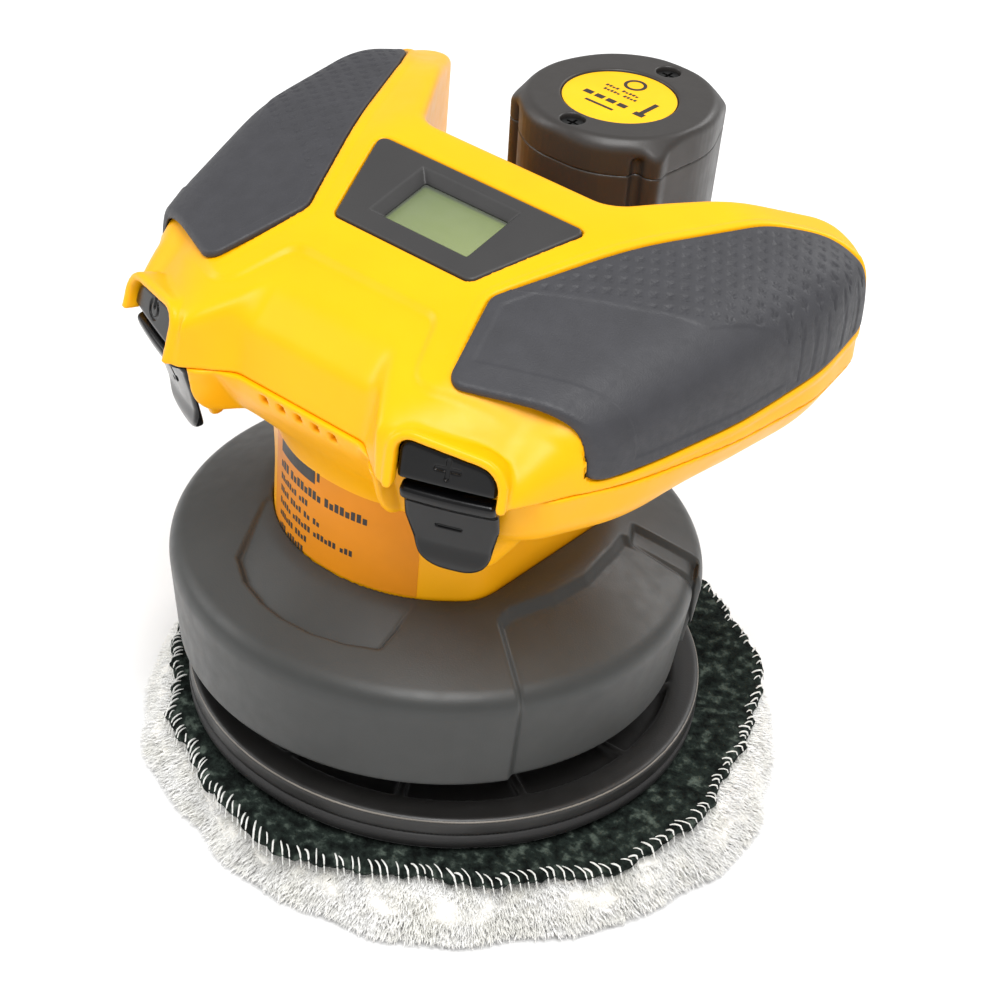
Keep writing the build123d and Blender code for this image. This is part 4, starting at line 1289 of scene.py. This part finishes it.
# ---- finishes of the CAD nodes that stay
FINISHES = {
    # slot: (roughness, metallic, grain in millimetres, grain depth in millimetres)
    "charcoal_plastic": (0.5, 0, 0.35, 0.03), "circuit_board": (0.45, 0, 1.5, 0.02),
    "bright_steel": (0.3, 1, 0.6, 0.01), "black_steel": (0.35, 0.6, 0.4, 0.02),
    "gloss_key": (0.18, 0, 1.2, 0.004), "orange_film": (0.4, 0, 0.6, 0.004),
    "magnet": (0.55, 0.4, 0.3, 0.03), "bronze": (0.35, 1, 0.4, 0.02),
    "carbon": (0.6, 0, 0.3, 0.03), "lead_wire": (0.5, 0, 0.8, 0.02),
    "armature_iron": (0.45, 0.8, 0.5, 0.03), "cast_alloy": (0.45, 1, 0.6, 0.05),
    "plate_plastic": (0.5, 0, 0.6, 0.03), "hook_fabric": (0.9, 0, 0.6, 0.3),
    "battery_plastic": (0.5, 0, 0.4, 0.03), "yellow_film": (0.38, 0, 0.6, 0.004),
    "cell_wrap": (0.3, 0, 1, 0.01),
}
COLOURS = {"orange_film": linear(224, 138, 20), "yellow_film": linear(250, 186, 10), "gloss_key": BLACK,
           "black_steel": linear(30, 30, 30)}


def lcd_material():
    """A grey-green panel with painted light: lighter towards one corner, where the light falls across it."""
    look = Look("lcd_look", Roughness=0.25)
    # painted light: a gradient across the panel, lighter towards one corner
    across, along = look.math("MULTIPLY", look.axis("X"), 14), look.math("MULTIPLY", look.axis("Y"), -18)
    drift = look.math("ADD", look.math("ADD", across, along), 0.35)
    drift = look.math("ADD", drift, look.math("MULTIPLY", look.noise(4, 4), 0.12))
    look.colour(look.ramp(drift, (0.1, linear(88, 106, 44)), (0.8, linear(124, 138, 68))))
    look.bump(look.noise(0.6, 2), 0.004)
    return look.material


LENS_TONES = ((0.3, linear(200, 205, 198)), (0.7, linear(214, 218, 212)))
CLEAR = {"Roughness": 0.06, "Alpha": 0.12, "IOR": 1.49}
lens_look = mottled("lens_look", (6, 2), LENS_TONES, (9, 2, 0.004), **CLEAR).material


def finish_nodes():
    """Gives every CAD node its slot's procedural finish."""
    record = frame["record"]
    base = {m["slot"]: tuple(m["base_color"][:3]) + (1,) for m in record["materials"]}
    looks = {"lcd_panel": lcd_material(), "clear_lens": lens_look}
    for row in record["subparts"]:
        slot = row["material_slot"]
        if slot not in looks:
            roughness, metallic, grain, depth = FINISHES.get(slot, (0.5, 0, 0.5, 0.02))
            colour = COLOURS.get(slot, base[slot])
            specular = 0.2 if slot in ("orange_film", "yellow_film") else 0.5
            looks[slot] = grained(slot + "_finish", colour, roughness, grain, depth, Metallic=metallic,
                                  Specular_IOR_Level=specular)
        for place in frame["nodes"][row["node"]].material_slots:
            place.material = looks[slot]


finish_nodes()
bpy.context.scene.view_settings.view_transform = "Standard"

size = {"cad": cad_box, "visual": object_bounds()}
size = {key: [[float(c) for c in corner] for corner in box] for key, box in size.items()}
